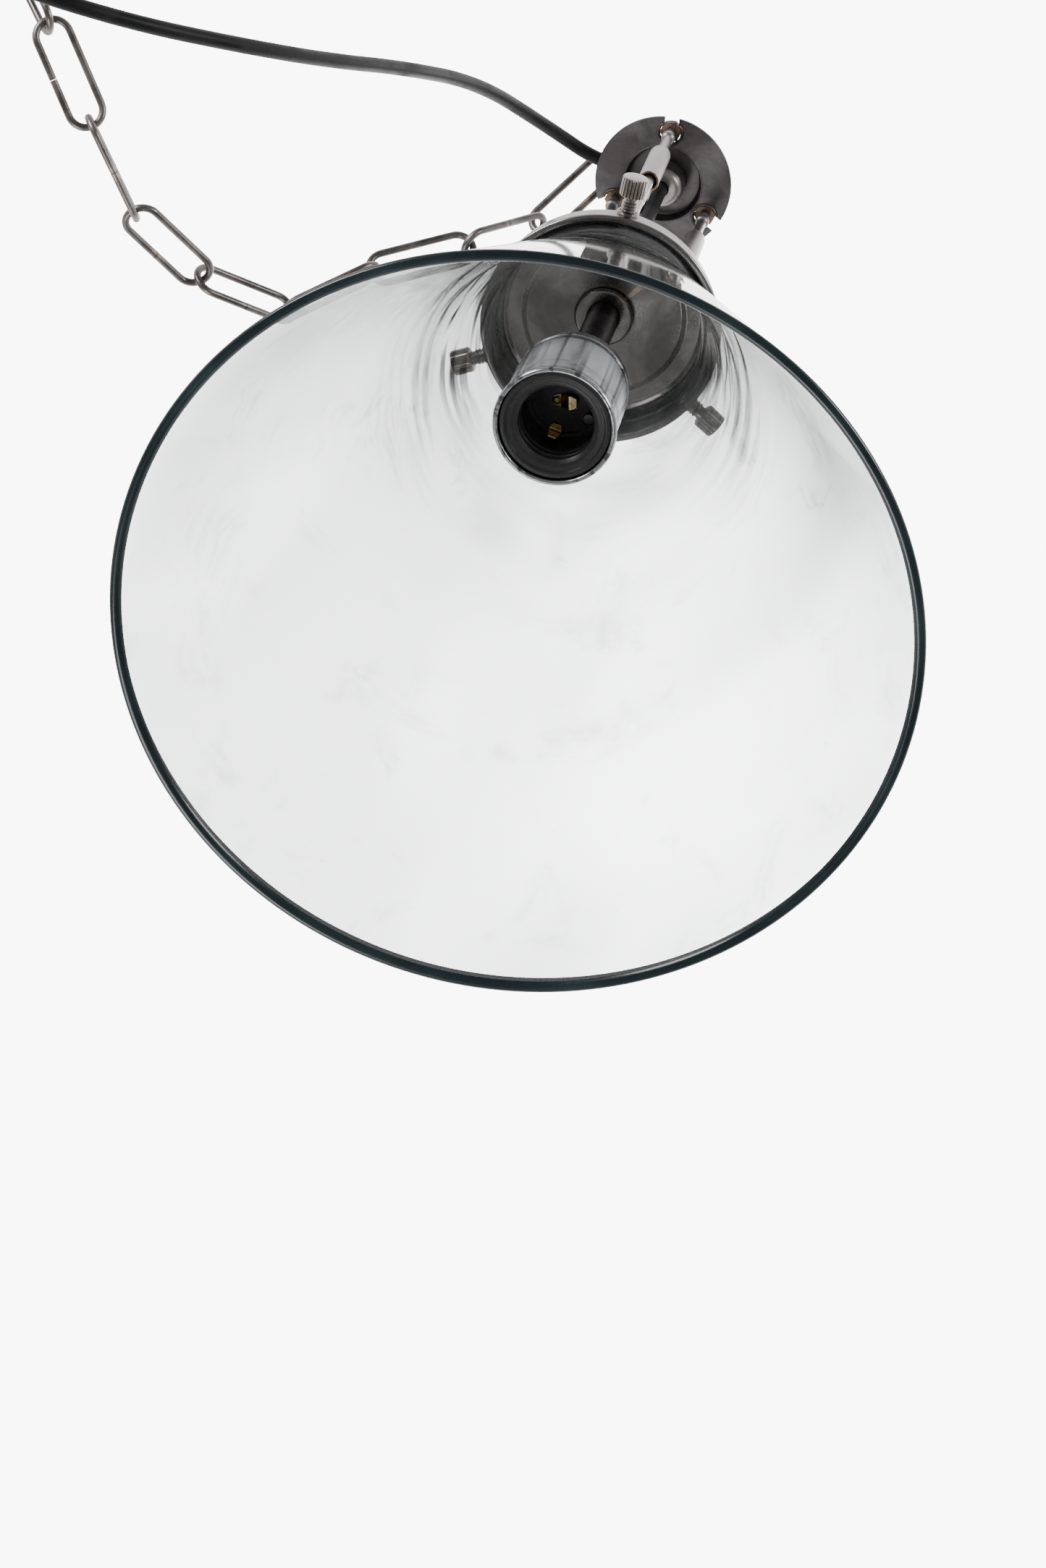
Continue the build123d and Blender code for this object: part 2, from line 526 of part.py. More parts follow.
# ---- flex from the lamp to the rose -----------------------------------------------------------------------------------
radii = corner_radii(FLEX_ROUTE)
flex_cable, flex_length = cord(FLEX_ROUTE, FLEX_R, radii)
keep("flex_cable", flex_cable)
print("flex radii", [round(r) for r in radii], "length", round(flex_length, 1),
      "volume ratio", round(flex_cable.volume / (math.pi * FLEX_R ** 2 * flex_length), 4))
print("flex inside length", round(inside_length, 1))

for name, shape in made.items():
    export_step(shape, f"parts/{name}.step")
print(len(made), "nodes")
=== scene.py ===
import math

import bmesh
import bpy
from mathutils import Matrix, Vector


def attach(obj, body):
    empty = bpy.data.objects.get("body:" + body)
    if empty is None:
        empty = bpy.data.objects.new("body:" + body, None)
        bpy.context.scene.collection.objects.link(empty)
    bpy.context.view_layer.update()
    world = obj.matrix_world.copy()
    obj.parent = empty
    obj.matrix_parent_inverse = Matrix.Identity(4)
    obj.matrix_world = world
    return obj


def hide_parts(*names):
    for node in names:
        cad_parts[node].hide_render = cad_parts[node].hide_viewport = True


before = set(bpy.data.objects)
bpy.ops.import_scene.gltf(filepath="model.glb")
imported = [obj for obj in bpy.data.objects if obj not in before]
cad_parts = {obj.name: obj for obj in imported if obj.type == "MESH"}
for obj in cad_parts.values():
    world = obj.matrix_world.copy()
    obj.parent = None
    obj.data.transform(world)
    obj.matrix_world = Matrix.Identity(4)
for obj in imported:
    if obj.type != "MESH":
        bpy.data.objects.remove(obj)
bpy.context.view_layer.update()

bl_info = {
    "name": "Pendant lamp with glass cone shade",
    "version": (1, 0, 0),
    "blender": (4, 5, 0),
    "location": "View3D > Sidebar > Pendant lamp",
    "description": "Builds the visual model of a pendant lamp over its CAD frame",
    "category": "Add Mesh",
}

MM = 0.001

# ---- sizes of the CAD model, in millimetres ------------------------------------------------------------
BEAD_Z = -205.3
GALLERY_TOP = BEAD_Z + 16.9
LEAN = 3.1
LEAN_AXIS = (0.37, -0.93, 0.0)
LEAN_Z = GALLERY_TOP - 0.5
SCREW_Z = BEAD_Z + 6.9
SCREW_ANGLES = (-78.0, 42.0, 162.0)
PILLAR_ANGLES = (-83.0, 37.0, 157.0)
PILLAR_CIRCLE_R = 21.5
RIM_Z = -303.7
SKIRT_TOP = -266.5
SOCKET_FLOOR = -277.0
CHAIN_HEADINGS = (
    (139, -32), (182, -53), (169, -23), (160, -35), (211, -25),
    (234, -23), (248, -4), (244, 12), (230, 34), (226, 70),
)
CHAIN_ROLLS = (40, 160, 45, 130, 75, 0, 110, 30, 135, 45)
RING_DIRECTION = (-0.97, 0.0, -0.25)
FLEX_ROUTE = (
    (-10.8, -1.0, -17.5), (-26, -2.4, -17.5), (-48.5, -22, -30), (-67.5, -52.3, -76.7),
        (-85, -74.6, -137.5),
    (-101.6, -90.5, -187.2), (-122.4, -106.8, -230.3), (-155.7, -123.4, -264.4), (-196.5, -140.4, -280.9),
    (-231, -153, -262), (-249, -150, -216), (-254.5, -142, -166), (-254, -135.6, -118),
        (-251.7, -132.6, -87),
    (-251.7, -132.6, -54),
)
FLEX_GLAND = FLEX_ROUTE[-1][:2]
ROSE = (-256.68, -115.58)
ROSE_EYE_Z = -58.55

# ---- camera, lights and surroundings, in metres --------------------------------------------------------
CAMERA_PLACE = (0.189538, -0.465764, -1.469304)
CAMERA_RIGHT = Vector((0.985554, 0.0, 0.169364))
CAMERA_DOWN = Vector((0.076995, 0.890689, -0.448045))
CAMERA_AHEAD = Vector((-0.150851, 0.454613, 0.877822))
LAMP_MIDDLE = Vector((0.0, 0.0, -0.25))
SOFT_LIGHTS = {
    "key": ((-1.1, -1.2, -0.7), 0.7, 15.0),
    "side": ((1.4, -0.5, -0.5), 0.5, 7.0),
    "top": ((0.2, 0.6, 1.2), 1.2, 14.0),
    "low": ((-0.5, 0.8, -1.35), 0.6, 5.0),
}
WHITE = (1.0, 1.0, 1.0)


# ---- shader maths ----------------------------------------------------------------------------------------
class Sock:
    """A shader socket that Python operators work on."""

    def __init__(self, shader, socket):
        self.shader = shader
        self.socket = socket

    def math(self, operation, *values):
        return self.shader.node("Math", {"operation": operation}, dict(enumerate(values)))

    def __add__(self, other):
        return self.math("ADD", self, other)

    def __radd__(self, other):
        return self.math("ADD", other, self)

    def __sub__(self, other):
        return self.math("SUBTRACT", self, other)

    def __rsub__(self, other):
        return self.math("SUBTRACT", other, self)

    def __mul__(self, other):
        return self.math("MULTIPLY", self, other)

    def __rmul__(self, other):
        return self.math("MULTIPLY", other, self)

    def __pow__(self, other):
        return self.math("POWER", self, other)

    def __rpow__(self, other):
        return self.math("POWER", other, self)

    def clamp(self):
        return self.shader.node("Clamp", {}, {0: self})

    def step(self, low, high):
        """0 below low, 1 above high, smooth between."""
        return self.shader.node("MapRange", {"interpolation_type": "SMOOTHSTEP"},
            {0: self, 1: low, 2: high})


class Shader:
    """One material: node() adds any node, and the rest are short forms of it."""

    def __init__(self, name, library=None, output="OutputMaterial"):
        self.material = (bpy.data.materials if library is None else library).new(name)
        self.material.use_nodes = True
        self.tree = self.material.node_tree
        self.tree.nodes.clear()
        self.output = self.tree.nodes.new("ShaderNode" + output)

    def node(self, kind, settings, values, out=0):
        """Adds a node of this kind; values are numbers, colours, vectors or sockets, by input name or number."""
        made = self.tree.nodes.new("ShaderNode" + kind)
        for name, value in settings.items():
            setattr(made, name, value)
        for name, value in values.items():
            target = made.inputs[name]
            if isinstance(value, Sock):
                self.tree.links.new(value.socket, target)
            elif target.type == "RGBA":
                target.default_value = (*value[:3], 1.0)
            else:
                target.default_value = value
        return Sock(self, made.outputs[out])

    def coords(self):
        return self.node("TexCoord", {}, {}, "Object")

    def axis(self, name):
        return self.node("SeparateXYZ", {}, {0: self.coords()}, name)

    def noise(self, scale, detail=3.0, rough=0.55, distort=0.0, stretch=(1.0, 1.0, 1.0)):
        where = self.node("Mapping", {}, {"Vector": self.coords(), "Scale": stretch})
        return self.node("TexNoise", {}, {"Vector": where, "Scale": scale, "Detail": detail,
            "Roughness": rough,
                                          "Distortion": distort})

    def mix(self, factor, a, b):
        return self.node("Mix", {"data_type": "RGBA"}, {0: factor, 6: a, 7: b}, 2)

    def bump(self, height, strength, distance):
        return self.node("Bump", {}, {"Height": height, "Strength": strength, "Distance": distance})

    def edges(self, low=0.51, high=0.56):
        """Worn edges, from the surface's own curvature."""
        return self.node("NewGeometry", {}, {}, "Pointiness").step(low, high)

    def occlusion_mask(self, distance=0.004):
        """1 in corners, 0 in the open: ambient occlusion, painted as shade on the metals and used for dust on the
        moulding.
        """
        return 1.0 - self.node("AmbientOcclusion", {"samples": 4}, {"Distance": distance}, "AO")

    def surface(self, **values):
        return self.node("BsdfPrincipled", {}, {k.replace("_", " "): v for k, v in values.items()})

    def finish(self, shader):
        self.tree.links.new(shader.socket, self.output.inputs["Surface"])
        return self.material


def metal(name, light, dark, wear, rough=(0.16, 0.38), edge=(0.51, 0.56), brush=(1.0, 1.0, 1.0), corner_shade=0.55,
    tone=34.0):
    """Metal with a mottled tone, worn edges, painted shade darkening its corners and fine scratches."""
    s = Shader(name)
    mottle = s.noise(tone, 5.0, 0.6, 0.6)
    fine = s.noise(900.0, 2.0, 0.6, 0.0, brush)
    corners = s.occlusion_mask()
    colour = s.mix(mottle.step(0.30, 0.72), dark, light)
    # Painted shade: corners darkened from ambient occlusion.
    colour = s.mix((corners * corner_shade).clamp(), colour, tuple(c * 0.32 for c in dark))
    worn = (s.edges(*edge) * s.noise(120.0, 3.0).step(0.30, 0.62)).clamp()
    colour = s.mix(worn, colour, wear)
    roughness = rough[0] + (rough[1] - rough[0]) * mottle.step(0.2, 0.8) + 0.08 * fine + 0.25 * corners
    normal = s.bump(fine + 0.6 * mottle, 0.10, 0.0002)
    return s.finish(s.surface(Base_Color=colour, Metallic=1.0, Roughness=roughness, Normal=normal))


def silver():
    return metal("antiqued_silver", (0.62, 0.60, 0.59), (0.34, 0.32, 0.31), (0.80, 0.68, 0.58),
        rough=(0.10, 0.24), corner_shade=0.35)


def chrome():
    """Chrome with thin dark vertical streaks, which are painted reflection streaks, dulled patches and painted shade
    in its corners.
    """
    s = Shader("streaked_chrome")
    streak = s.noise(260.0, 2.0, 0.5, 0.0, (1.0, 1.0, 0.02))
    patch = s.noise(40.0, 4.0)
    # Painted reflection: dark vertical streaks in the colour.
    colour = s.mix(streak.step(0.54, 0.68), (0.80, 0.81, 0.83), (0.23, 0.23, 0.25))
    colour = s.mix(patch.step(0.60, 0.80) * 0.5, colour, (0.48, 0.45, 0.43))
    # Painted shade: darker in the corners, from ambient occlusion.
    colour = s.mix(s.occlusion_mask() * 0.5, colour, (0.06, 0.055, 0.05))
    rough = 0.08 + 0.16 * patch + 0.10 * streak
    normal = s.bump(streak + 0.4 * s.noise(700.0), 0.06, 0.0002)
    return s.finish(s.surface(Base_Color=colour, Metallic=1.0, Roughness=rough, Normal=normal))


def bronze():
    return metal("dark_bronze", (0.115, 0.105, 0.105), (0.050, 0.045, 0.046), (0.42, 0.30, 0.22),
        rough=(0.30, 0.50),
                 edge=(0.515, 0.58), tone=60.0)


def dark_disc():
    return metal("dark_disc", (0.20, 0.19, 0.192), (0.095, 0.088, 0.09), (0.30, 0.23, 0.18),
        rough=(0.26, 0.42),
                 edge=(0.80, 0.95), tone=60.0)


def satin():
    return metal("satin_steel", (0.62, 0.60, 0.59), (0.42, 0.40, 0.39), (0.70, 0.62, 0.56),
        rough=(0.26, 0.42),
                 brush=(1.0, 1.0, 0.04))


def pewter():
    return metal("pewter_steel", (0.36, 0.345, 0.34), (0.17, 0.155, 0.15), (0.55, 0.48, 0.43),
        rough=(0.24, 0.44), tone=90.0)


def copper():
    return metal("copper_rim", (0.58, 0.40, 0.30), (0.30, 0.19, 0.14), (0.80, 0.60, 0.46),
        rough=(0.18, 0.36))


def brass():
    return metal("worn_brass", (0.80, 0.62, 0.33), (0.50, 0.36, 0.17), (0.93, 0.78, 0.48),
        rough=(0.16, 0.34))


def steel():
    return metal("plain_steel", (0.55, 0.55, 0.56), (0.36, 0.35, 0.35), (0.70, 0.68, 0.66),
        rough=(0.22, 0.42))


def bakelite():
    """Dark moulded plastic, dusty in its corners."""
    s = Shader("dark_moulding")
    cloud = s.noise(70.0, 4.0)
    dust = (s.occlusion_mask(0.003) * 0.5 + s.noise(420.0, 2.0).step(0.62, 0.80) * 0.35).clamp()
    colour = s.mix(cloud, (0.012, 0.012, 0.013), (0.026, 0.025, 0.026))
    colour = s.mix(dust, colour, (0.06, 0.057, 0.054))
    rough = 0.22 + 0.30 * cloud + 0.25 * dust
    normal = s.bump(s.noise(800.0) + cloud, 0.08, 0.0002)
    return s.finish(s.surface(Base_Color=colour, Roughness=rough, Normal=normal, Coat_Weight=0.35,
        Coat_Roughness=0.15))


def flex_cover():
    """Soft black sheath with a faint grain and rubbed patches."""
    s = Shader("flex_sheath")
    grain = s.noise(1500.0, 2.0)
    rub = s.noise(60.0, 3.0).step(0.45, 0.75)
    colour = s.mix(rub, (0.007, 0.007, 0.0075), (0.022, 0.021, 0.021))
    rough = 0.36 + 0.20 * rub + 0.10 * grain
    return s.finish(s.surface(Base_Color=colour, Roughness=rough, Normal=s.bump(grain, 0.03, 0.0001),
        Specular_IOR_Level=0.3))


def clear_glass():
    """Clear drawn glass: darker where the wall is seen edge-on, with painted dark and pale reflection streaks as
    ripples round the neck, a painted grey shadow at the neck, haze and smudges.
    """
    s = Shader("clear_glass")
    facing = s.node("LayerWeight", {}, {"Blend": 0.5}, "Facing")
    x, y, z = s.axis("X"), s.axis("Y"), s.axis("Z")
    radius = s.node("VectorMath", {"operation": "LENGTH"}, {0: s.node("CombineXYZ", {}, {0: x, 1: y})},
        "Value")
    round_x, round_y = x.math("DIVIDE", x, radius), y.math("DIVIDE", y, radius)
    drift = s.noise(9.0, 2.0)

    def ripples(across, along, low, high):
        where = s.node("CombineXYZ", {}, {0: round_x * along, 1: round_y * along,
            2: z * across + drift * 3.0})
        return s.node("TexNoise", {}, {"Vector": where, "Scale": 1.0, "Detail": 2.0,
            "Distortion": 0.4}).step(low, high)
    # neck: 1 near the neck, fading out below the lampholder; it carries a painted grey shadow there.
    neck = z.step(-0.340, -0.235)
    fitter = z.step(-0.216, -0.206)
    # sides and dark: dark ripple streaks round the neck, strongest at the sides and weak towards +Y; they are painted
    # dark reflections.
    sides = (0.35 - round_y).step(-0.50, 0.40)
    dark = ripples(120.0, 1.1, 0.50, 0.66) * z.step(-0.320, -0.240) * sides
    # pale: paler ripple streaks round the neck, painted reflection streaks.
    pale = ripples(60.0, 1.0, 0.40, 0.70) * neck
    haze = s.noise(5.5, 2.0, 0.5, 0.8, (1.0, 1.0, 0.4)).step(0.42, 0.66)
    smudge = s.noise(38.0, 6.0, 0.68, 0.6).step(0.54, 0.72)
    specks = s.noise(420.0, 2.0).step(0.72, 0.78)
    tone = s.mix(haze, (0.46, 0.47, 0.47), (0.24, 0.245, 0.243))
    # Painted shade: the dark reflection streaks and the neck's painted grey shadow pull the tone towards near black.
    tone = s.mix((dark + 0.2 * neck).clamp(), tone, (0.035, 0.037, 0.037))
    body = s.surface(Base_Color=tone, Roughness=0.05 + 0.25 * smudge, Coat_Weight=1.0, Coat_Roughness=0.03,
        IOR=1.52,
                     Normal=s.bump(dark + pale + 0.4 * haze, 0.15, 0.002))
    clear = s.node("BsdfTransparent", {}, {"Color": (0.955, 0.965, 0.965)})
    # The painted streaks and the painted neck shadow also thicken the glass film there.
    factor = (0.13 + (0.62 - 0.40 * fitter) * facing ** 3.0 + 0.42 * dark + 0.10 * pale + 0.08 * neck + 0.20 * haze
              + 0.14 * smudge + 0.12 * specks - 0.08 * fitter)
    return s.finish(s.node("MixShader", {}, {0: factor.clamp(), 1: clear, 2: body}))


def painted_dark_glass_edge():
    """The ground edge of the glass: painted dark teal that stands in for the dark reflections the glass shows edge-on;
    glossy, a little lighter in patches.
    """
    s = Shader("painted_dark_glass_edge")
    patch = s.noise(30.0, 3.0)
    fine = s.noise(500.0, 3.0)
    colour = s.mix(patch.step(0.35, 0.75), (0.004, 0.011, 0.014), (0.012, 0.026, 0.030))
    rough = 0.10 + 0.18 * patch + 0.10 * fine
    return s.finish(s.surface(Base_Color=colour, Roughness=rough, Normal=s.bump(fine, 0.05, 0.0002),
        Coat_Weight=0.3, Coat_Roughness=0.1))


MATERIALS = {
    "silver": silver, "chrome": chrome, "bronze": bronze, "dark_disc": dark_disc, "satin": satin,
        "pewter": pewter, "copper": copper,
    "brass": brass, "steel": steel, "bakelite": bakelite, "flex": flex_cover, "glass": clear_glass,
        "edge": painted_dark_glass_edge,
}
made_materials = {}


def material(key):
    if key not in made_materials:
        made_materials[key] = MATERIALS[key]()
    return made_materials[key]


# ---- meshes ------------------------------------------------------------------------------------------------
def lean_matrix():
    turn = Matrix.Rotation(math.radians(LEAN), 4, Vector(LEAN_AXIS).normalized())
    pivot = Matrix.Translation(Vector((0, 0, LEAN_Z * MM)))
    return pivot @ turn @ pivot.inverted()


def turned(angle, radius=0.0, z=0.0):
    return Matrix.Rotation(math.radians(angle), 4, "Z") @ Matrix.Translation(Vector((radius, 0, z)) * MM)


def add(name, mesh, keys, body, matrix=None, replaces=(), smooth=40.0):
    """Makes the object, gives it materials, shades it and lets it ride on its body."""
    if matrix is not None:
        mesh.transform(matrix)
    obj = bpy.data.objects.new(name, mesh)
    bpy.context.scene.collection.objects.link(obj)
    for key in [keys] if isinstance(keys, str) else keys:
        mesh.materials.append(material(key))
    if smooth and isinstance(mesh, bpy.types.Mesh):
        mesh.shade_smooth()
        mesh.set_sharp_from_angle(angle=math.radians(smooth))
    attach(obj, body)
    if replaces:
        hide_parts(*replaces)
    return obj


def round_corners(points, radius, steps=4):
    """Rounds each corner of a closed outline by an arc-like bend."""
    out = []
    n = len(points)
    for i, p in enumerate(points):
        a, b = Vector(points[i - 1]), Vector(points[(i + 1) % n])
        p = Vector(p)
        u, v = a - p, b - p
        cut = min(radius, 0.42 * u.length, 0.42 * v.length)
        if cut < 1e-4 or p.x < 1e-6:
            out.append(tuple(p))
            continue
        s, e = p + u.normalized() * cut, p + v.normalized() * cut
        for k in range(steps + 1):
            t = k / steps
            out.append(tuple(s * (1 - t) ** 2 + p * 2 * t * (1 - t) + e * t ** 2))
    return out


def lathe(name, points, segments=96, radius=0.35, ripple=None):
    """Mesh of revolution about Z from a closed (r, z) outline in millimetres."""
    outline = round_corners(points, radius) if radius else points
    bm = bmesh.new()
    rings = []
    for r, z in outline:
        if r < 1e-6:
            v = bm.verts.new((0, 0, z * MM))
            rings.append([v] * segments)
            continue
        ring = []
        for k in range(segments):
            a = 2 * math.pi * k / segments
            rr = r if ripple is None else r + ripple(a, r, z)
            ring.append(bm.verts.new((rr * MM * math.cos(a), rr * MM * math.sin(a), z * MM)))
        rings.append(ring)
    for i, ring in enumerate(rings):
        nxt = rings[(i + 1) % len(rings)]
        for k in range(segments):
            quad = []
            for v in (ring[k], ring[(k + 1) % segments], nxt[(k + 1) % segments], nxt[k]):
                if v not in quad:
                    quad.append(v)
            if len(quad) >= 3:
                bm.faces.new(quad)
    bmesh.ops.recalc_face_normals(bm, faces=bm.faces)
    mesh = bpy.data.meshes.new(name)
    bm.to_mesh(mesh)
    bm.free()
    return mesh


def tube_mesh(name, points, radius, closed=False, sides=20):
    """Round wire through points in metres, with capped ends unless it is closed."""
    bm = bmesh.new()
    n = len(points)
    pts = [Vector(p) for p in points]
    rings = []
    normal = None
    for i, p in enumerate(pts):
        ahead = pts[(i + 1) % n] if closed or i + 1 < n else p
        behind = pts[i - 1] if closed or i else p
        t = (ahead - behind).normalized()
        if normal is None:
            normal = t.orthogonal().normalized()
        normal = (normal - t * normal.dot(t)).normalized()
        side = t.cross(normal)
        rr = radius(i / (n - 1)) if callable(radius) else radius
        rings.append([bm.verts.new(p + (normal * math.cos(a) + side * math.sin(a)) * rr)
                      for a in (2 * math.pi * k / sides for k in range(sides))])
    for i in range(n if closed else n - 1):
        a, b = rings[i], rings[(i + 1) % n]
        shift = 0
        if closed and i == n - 1:
            shift = min(range(sides), key=lambda s: (a[0].co - b[s].co).length)
        for k in range(sides):
            bm.faces.new((a[k], a[(k + 1) % sides], b[(k + 1 + shift) % sides], b[(k + shift) % sides]))
    if not closed:
        bm.faces.new(rings[0][::-1])
        bm.faces.new(rings[-1])
    bmesh.ops.recalc_face_normals(bm, faces=bm.faces)
    mesh = bpy.data.meshes.new(name)
    bm.to_mesh(mesh)
    bm.free()
    return mesh


def merge(name, meshes):
    bm = bmesh.new()
    for m in meshes:
        bm.from_mesh(m)
    mesh = bpy.data.meshes.new(name)
    bm.to_mesh(mesh)
    bm.free()
    return mesh


def prism(name, sides, across, z0, z1, bore, chamfer=0.6):
    """Nut with a turned chamfer on both faces."""
    corner = across / 2 / math.cos(math.pi / sides)
    seg = sides * 12

    def flat(a, r, z):
        step = 2 * math.pi / sides
        inside = (a + step / 2) % step - step / 2
        limit = across / 2 / math.cos(inside)
        return min(0.0, limit - r) if r > bore + 0.5 else 0.0
    return lathe(name, [(bore, z0), (corner - chamfer, z0), (corner, z0 + chamfer), (corner, z1 - chamfer),
                        (corner - chamfer, z1), (bore, z1)], segments=seg, radius=0.0, ripple=flat)


def paint_cad(node, key):
    """Puts a material into the slots of a CAD node that stays shown."""
    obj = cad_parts[node]
    for k in range(max(1, len(obj.material_slots))):
        if len(obj.material_slots) == 0:
            obj.data.materials.append(material(key))
        else:
            obj.material_slots[k].material = material(key)


# ---- property groups ---------------------------------------------------------------------------------------
class LampSizes(bpy.types.PropertyGroup):
    mouth_radius: bpy.props.FloatProperty(name="Mouth radius",
        description="Outer radius of the shade's mouth", default=0.125, unit="LENGTH")
    glass_wall: bpy.props.FloatProperty(name="Glass wall", description="Thickness of the shade's wall",
        default=0.0032, unit="LENGTH")
    wire_radius: bpy.props.FloatProperty(name="Chain wire radius", description="Radius of the chain's wire",
        default=0.0015, unit="LENGTH")
    flex_radius: bpy.props.FloatProperty(name="Flex radius", description="Radius of the flex",
        default=0.0028, unit="LENGTH")
    knurls: bpy.props.IntProperty(name="Knurls", description="Grooves round a thumbscrew's head",
        default=22)


class StageSizes(bpy.types.PropertyGroup):
    floor_z: bpy.props.FloatProperty(name="Floor height",
        description="Height of the floor under the camera", default=-2.6, unit="LENGTH")
    lens: bpy.props.FloatProperty(name="Lens", description="Focal length of the camera", default=84.72,
        unit="CAMERA")
    dim_side: bpy.props.FloatProperty(name="Dim side",
        description="Strength of the light from below the lamp", default=0.17)
    bright_side: bpy.props.FloatProperty(name="Bright side",
        description="Strength of the light from above the lamp", default=1.5)
    backdrop: bpy.props.FloatProperty(name="Backdrop", description="Strength of the white backdrop",
        default=9.0)


def lamp():
    return bpy.context.scene.lamp_sizes


def stage_sizes():
    return bpy.context.scene.lamp_stage


class LAMP_OT_stage(bpy.types.Operator):
    """Camera, soft lights, pale floor and white surroundings"""
    bl_idname = "lamp.stage"
    bl_label = "Stage"

    def execute(self, context):
        sizes = stage_sizes()
        cam = bpy.data.objects.new("camera", bpy.data.cameras.new("camera"))
        bpy.context.scene.collection.objects.link(cam)
        cam.data.lens = sizes.lens
        cam.data.sensor_width = 36.0
        cam.data.clip_end = 50.0
        turn = Matrix((CAMERA_RIGHT, -CAMERA_DOWN, -CAMERA_AHEAD)).transposed().to_4x4()
        cam.matrix_world = Matrix.Translation(CAMERA_PLACE) @ turn
        bpy.context.scene.camera = cam
        bpy.context.scene.world = self.surroundings(sizes.dim_side, sizes.bright_side, sizes.backdrop)
        self.floor(sizes.floor_z)
        for name, (place, size, power) in SOFT_LIGHTS.items():
            light = bpy.data.objects.new(name, bpy.data.lights.new(name, "AREA"))
            light.data.shape = "DISK"
            light.data.size = size
            light.data.energy = power
            light.location = place
            light.rotation_euler = (LAMP_MIDDLE - Vector(place)).to_track_quat("-Z", "Y").to_euler()
            bpy.context.scene.collection.objects.link(light)
        return {"FINISHED"}

    def surroundings(self, dim, bright, backdrop):
        """White backdrop, with a soft bright side above and behind the lamp and a dim side below it."""
        s = Shader("surroundings", bpy.data.worlds, "OutputWorld")
        towards = s.node("VectorMath", {"operation": "DOT_PRODUCT"},
            {0: s.node("TexCoord", {}, {}, "Generated"),
                                                                     1: tuple(CAMERA_AHEAD)}, "Value")
        strength = dim + (bright - dim) * towards.step(-0.35, 0.75)
        soft = s.node("Background", {}, {"Color": WHITE, "Strength": strength})
        white = s.node("Background", {}, {"Color": WHITE, "Strength": backdrop})
        seen = s.node("LightPath", {}, {}, "Is Camera Ray")
        return s.finish(s.node("MixShader", {}, {0: seen, 1: soft, 2: white}))

    def floor(self, z):
        bm = bmesh.new()
        bmesh.ops.create_grid(bm, x_segments=1, y_segments=1, size=6.0)
        mesh = bpy.data.meshes.new("floor")
        bm.to_mesh(mesh)
        bm.free()
        s = Shader("pale_floor")
        s.finish(s.surface(Base_Color=s.mix(s.noise(3.0), (0.74, 0.74, 0.73), (0.80, 0.80, 0.79)),
            Roughness=0.6))
        mesh.materials.append(s.material)
        obj = bpy.data.objects.new("floor", mesh)
        obj.location = (0, 0, z)
        obj.visible_glossy = False
        bpy.context.scene.collection.objects.link(obj)


class LAMP_OT_flex(bpy.types.Operator):
    """The round black flex from the hood on top of the lamp to the ceiling rose"""
    bl_idname = "lamp.flex"
    bl_label = "Flex"

    def execute(self, context):
        curve = bpy.data.curves.new("flex", "CURVE")
        curve.dimensions = "3D"
        curve.bevel_depth = lamp().flex_radius
        curve.bevel_resolution = 8
        curve.resolution_u = 24
        curve.use_fill_caps = True
        line = curve.splines.new("NURBS")
        line.points.add(len(FLEX_ROUTE) - 1)
        for point, place in zip(line.points, FLEX_ROUTE):
            point.co = (*(c * MM for c in place), 1.0)
        line.order_u = 3
        line.use_endpoint_u = True
        obj = add("flex", curve, "flex", "lamp", replaces=("flex_cable",), smooth=0)
        return {"FINISHED"}


class LAMP_OT_shade(bpy.types.Operator):
    """Clear glass cone shade with its fitter collar and ground rim"""
    bl_idname = "lamp.shade"
    bl_label = "Glass shade"

    def execute(self, context):
        mouth = lamp().mouth_radius / MM
        wall = lamp().glass_wall / MM
        top, neck, low = BEAD_Z + 11.9, BEAD_Z - 5.0, BEAD_Z - 261.0
        outer = [(40.8, top), (40.8, top - 1.3), (39.8, top - 1.9), (39.8, neck + 4.0)]
        inner = []
        slope = (mouth - 39.8) / (neck - low)
        across = wall * math.hypot(1.0, slope)
        steps = 80
        for k in range(steps + 1):
            z = neck + (low - neck) * k / steps
            soften = 1.4 * math.exp(-((neck - z) / 9.0))
            r = 39.8 + slope * (neck - z)
            outer.append((r, z))
            inner.append((max(36.9, r - across + soften), z))
        outline = outer[:-1] + [(mouth, low + 1.4), (mouth - 0.25, low + 0.45), (mouth - 1.0, low),
            (mouth - across + 0.9, low),
                                (mouth - across + 0.2, low + 0.5), (mouth - across - 0.35, low + 1.5)]
        outline += inner[::-1][1:] + [(36.9, neck + 5.0), (37.0, top)]
        mesh = lathe("glass_shade", outline, segments=192, radius=0.0)
        # Faces of the mouth rim, the lowest 7 mm of the outer wall and the top of the fitter lip take the second
        # material, the painted dark teal edge.
        for face in mesh.polygons:
            centre = face.center
            outside = math.hypot(centre.x,
                centre.y) > (mouth - slope * (centre.z / MM - low) - wall / 2) * MM
            if centre.z < (low + (7.0 if outside else 1.45)) * MM or centre.z > (top - 0.05) * MM:
                face.material_index = 1
        add("glass_shade_visual", mesh, ("glass", "edge"), "gallery_group", lean_matrix(),
            ("glass_shade",), smooth=50)
        return {"FINISHED"}


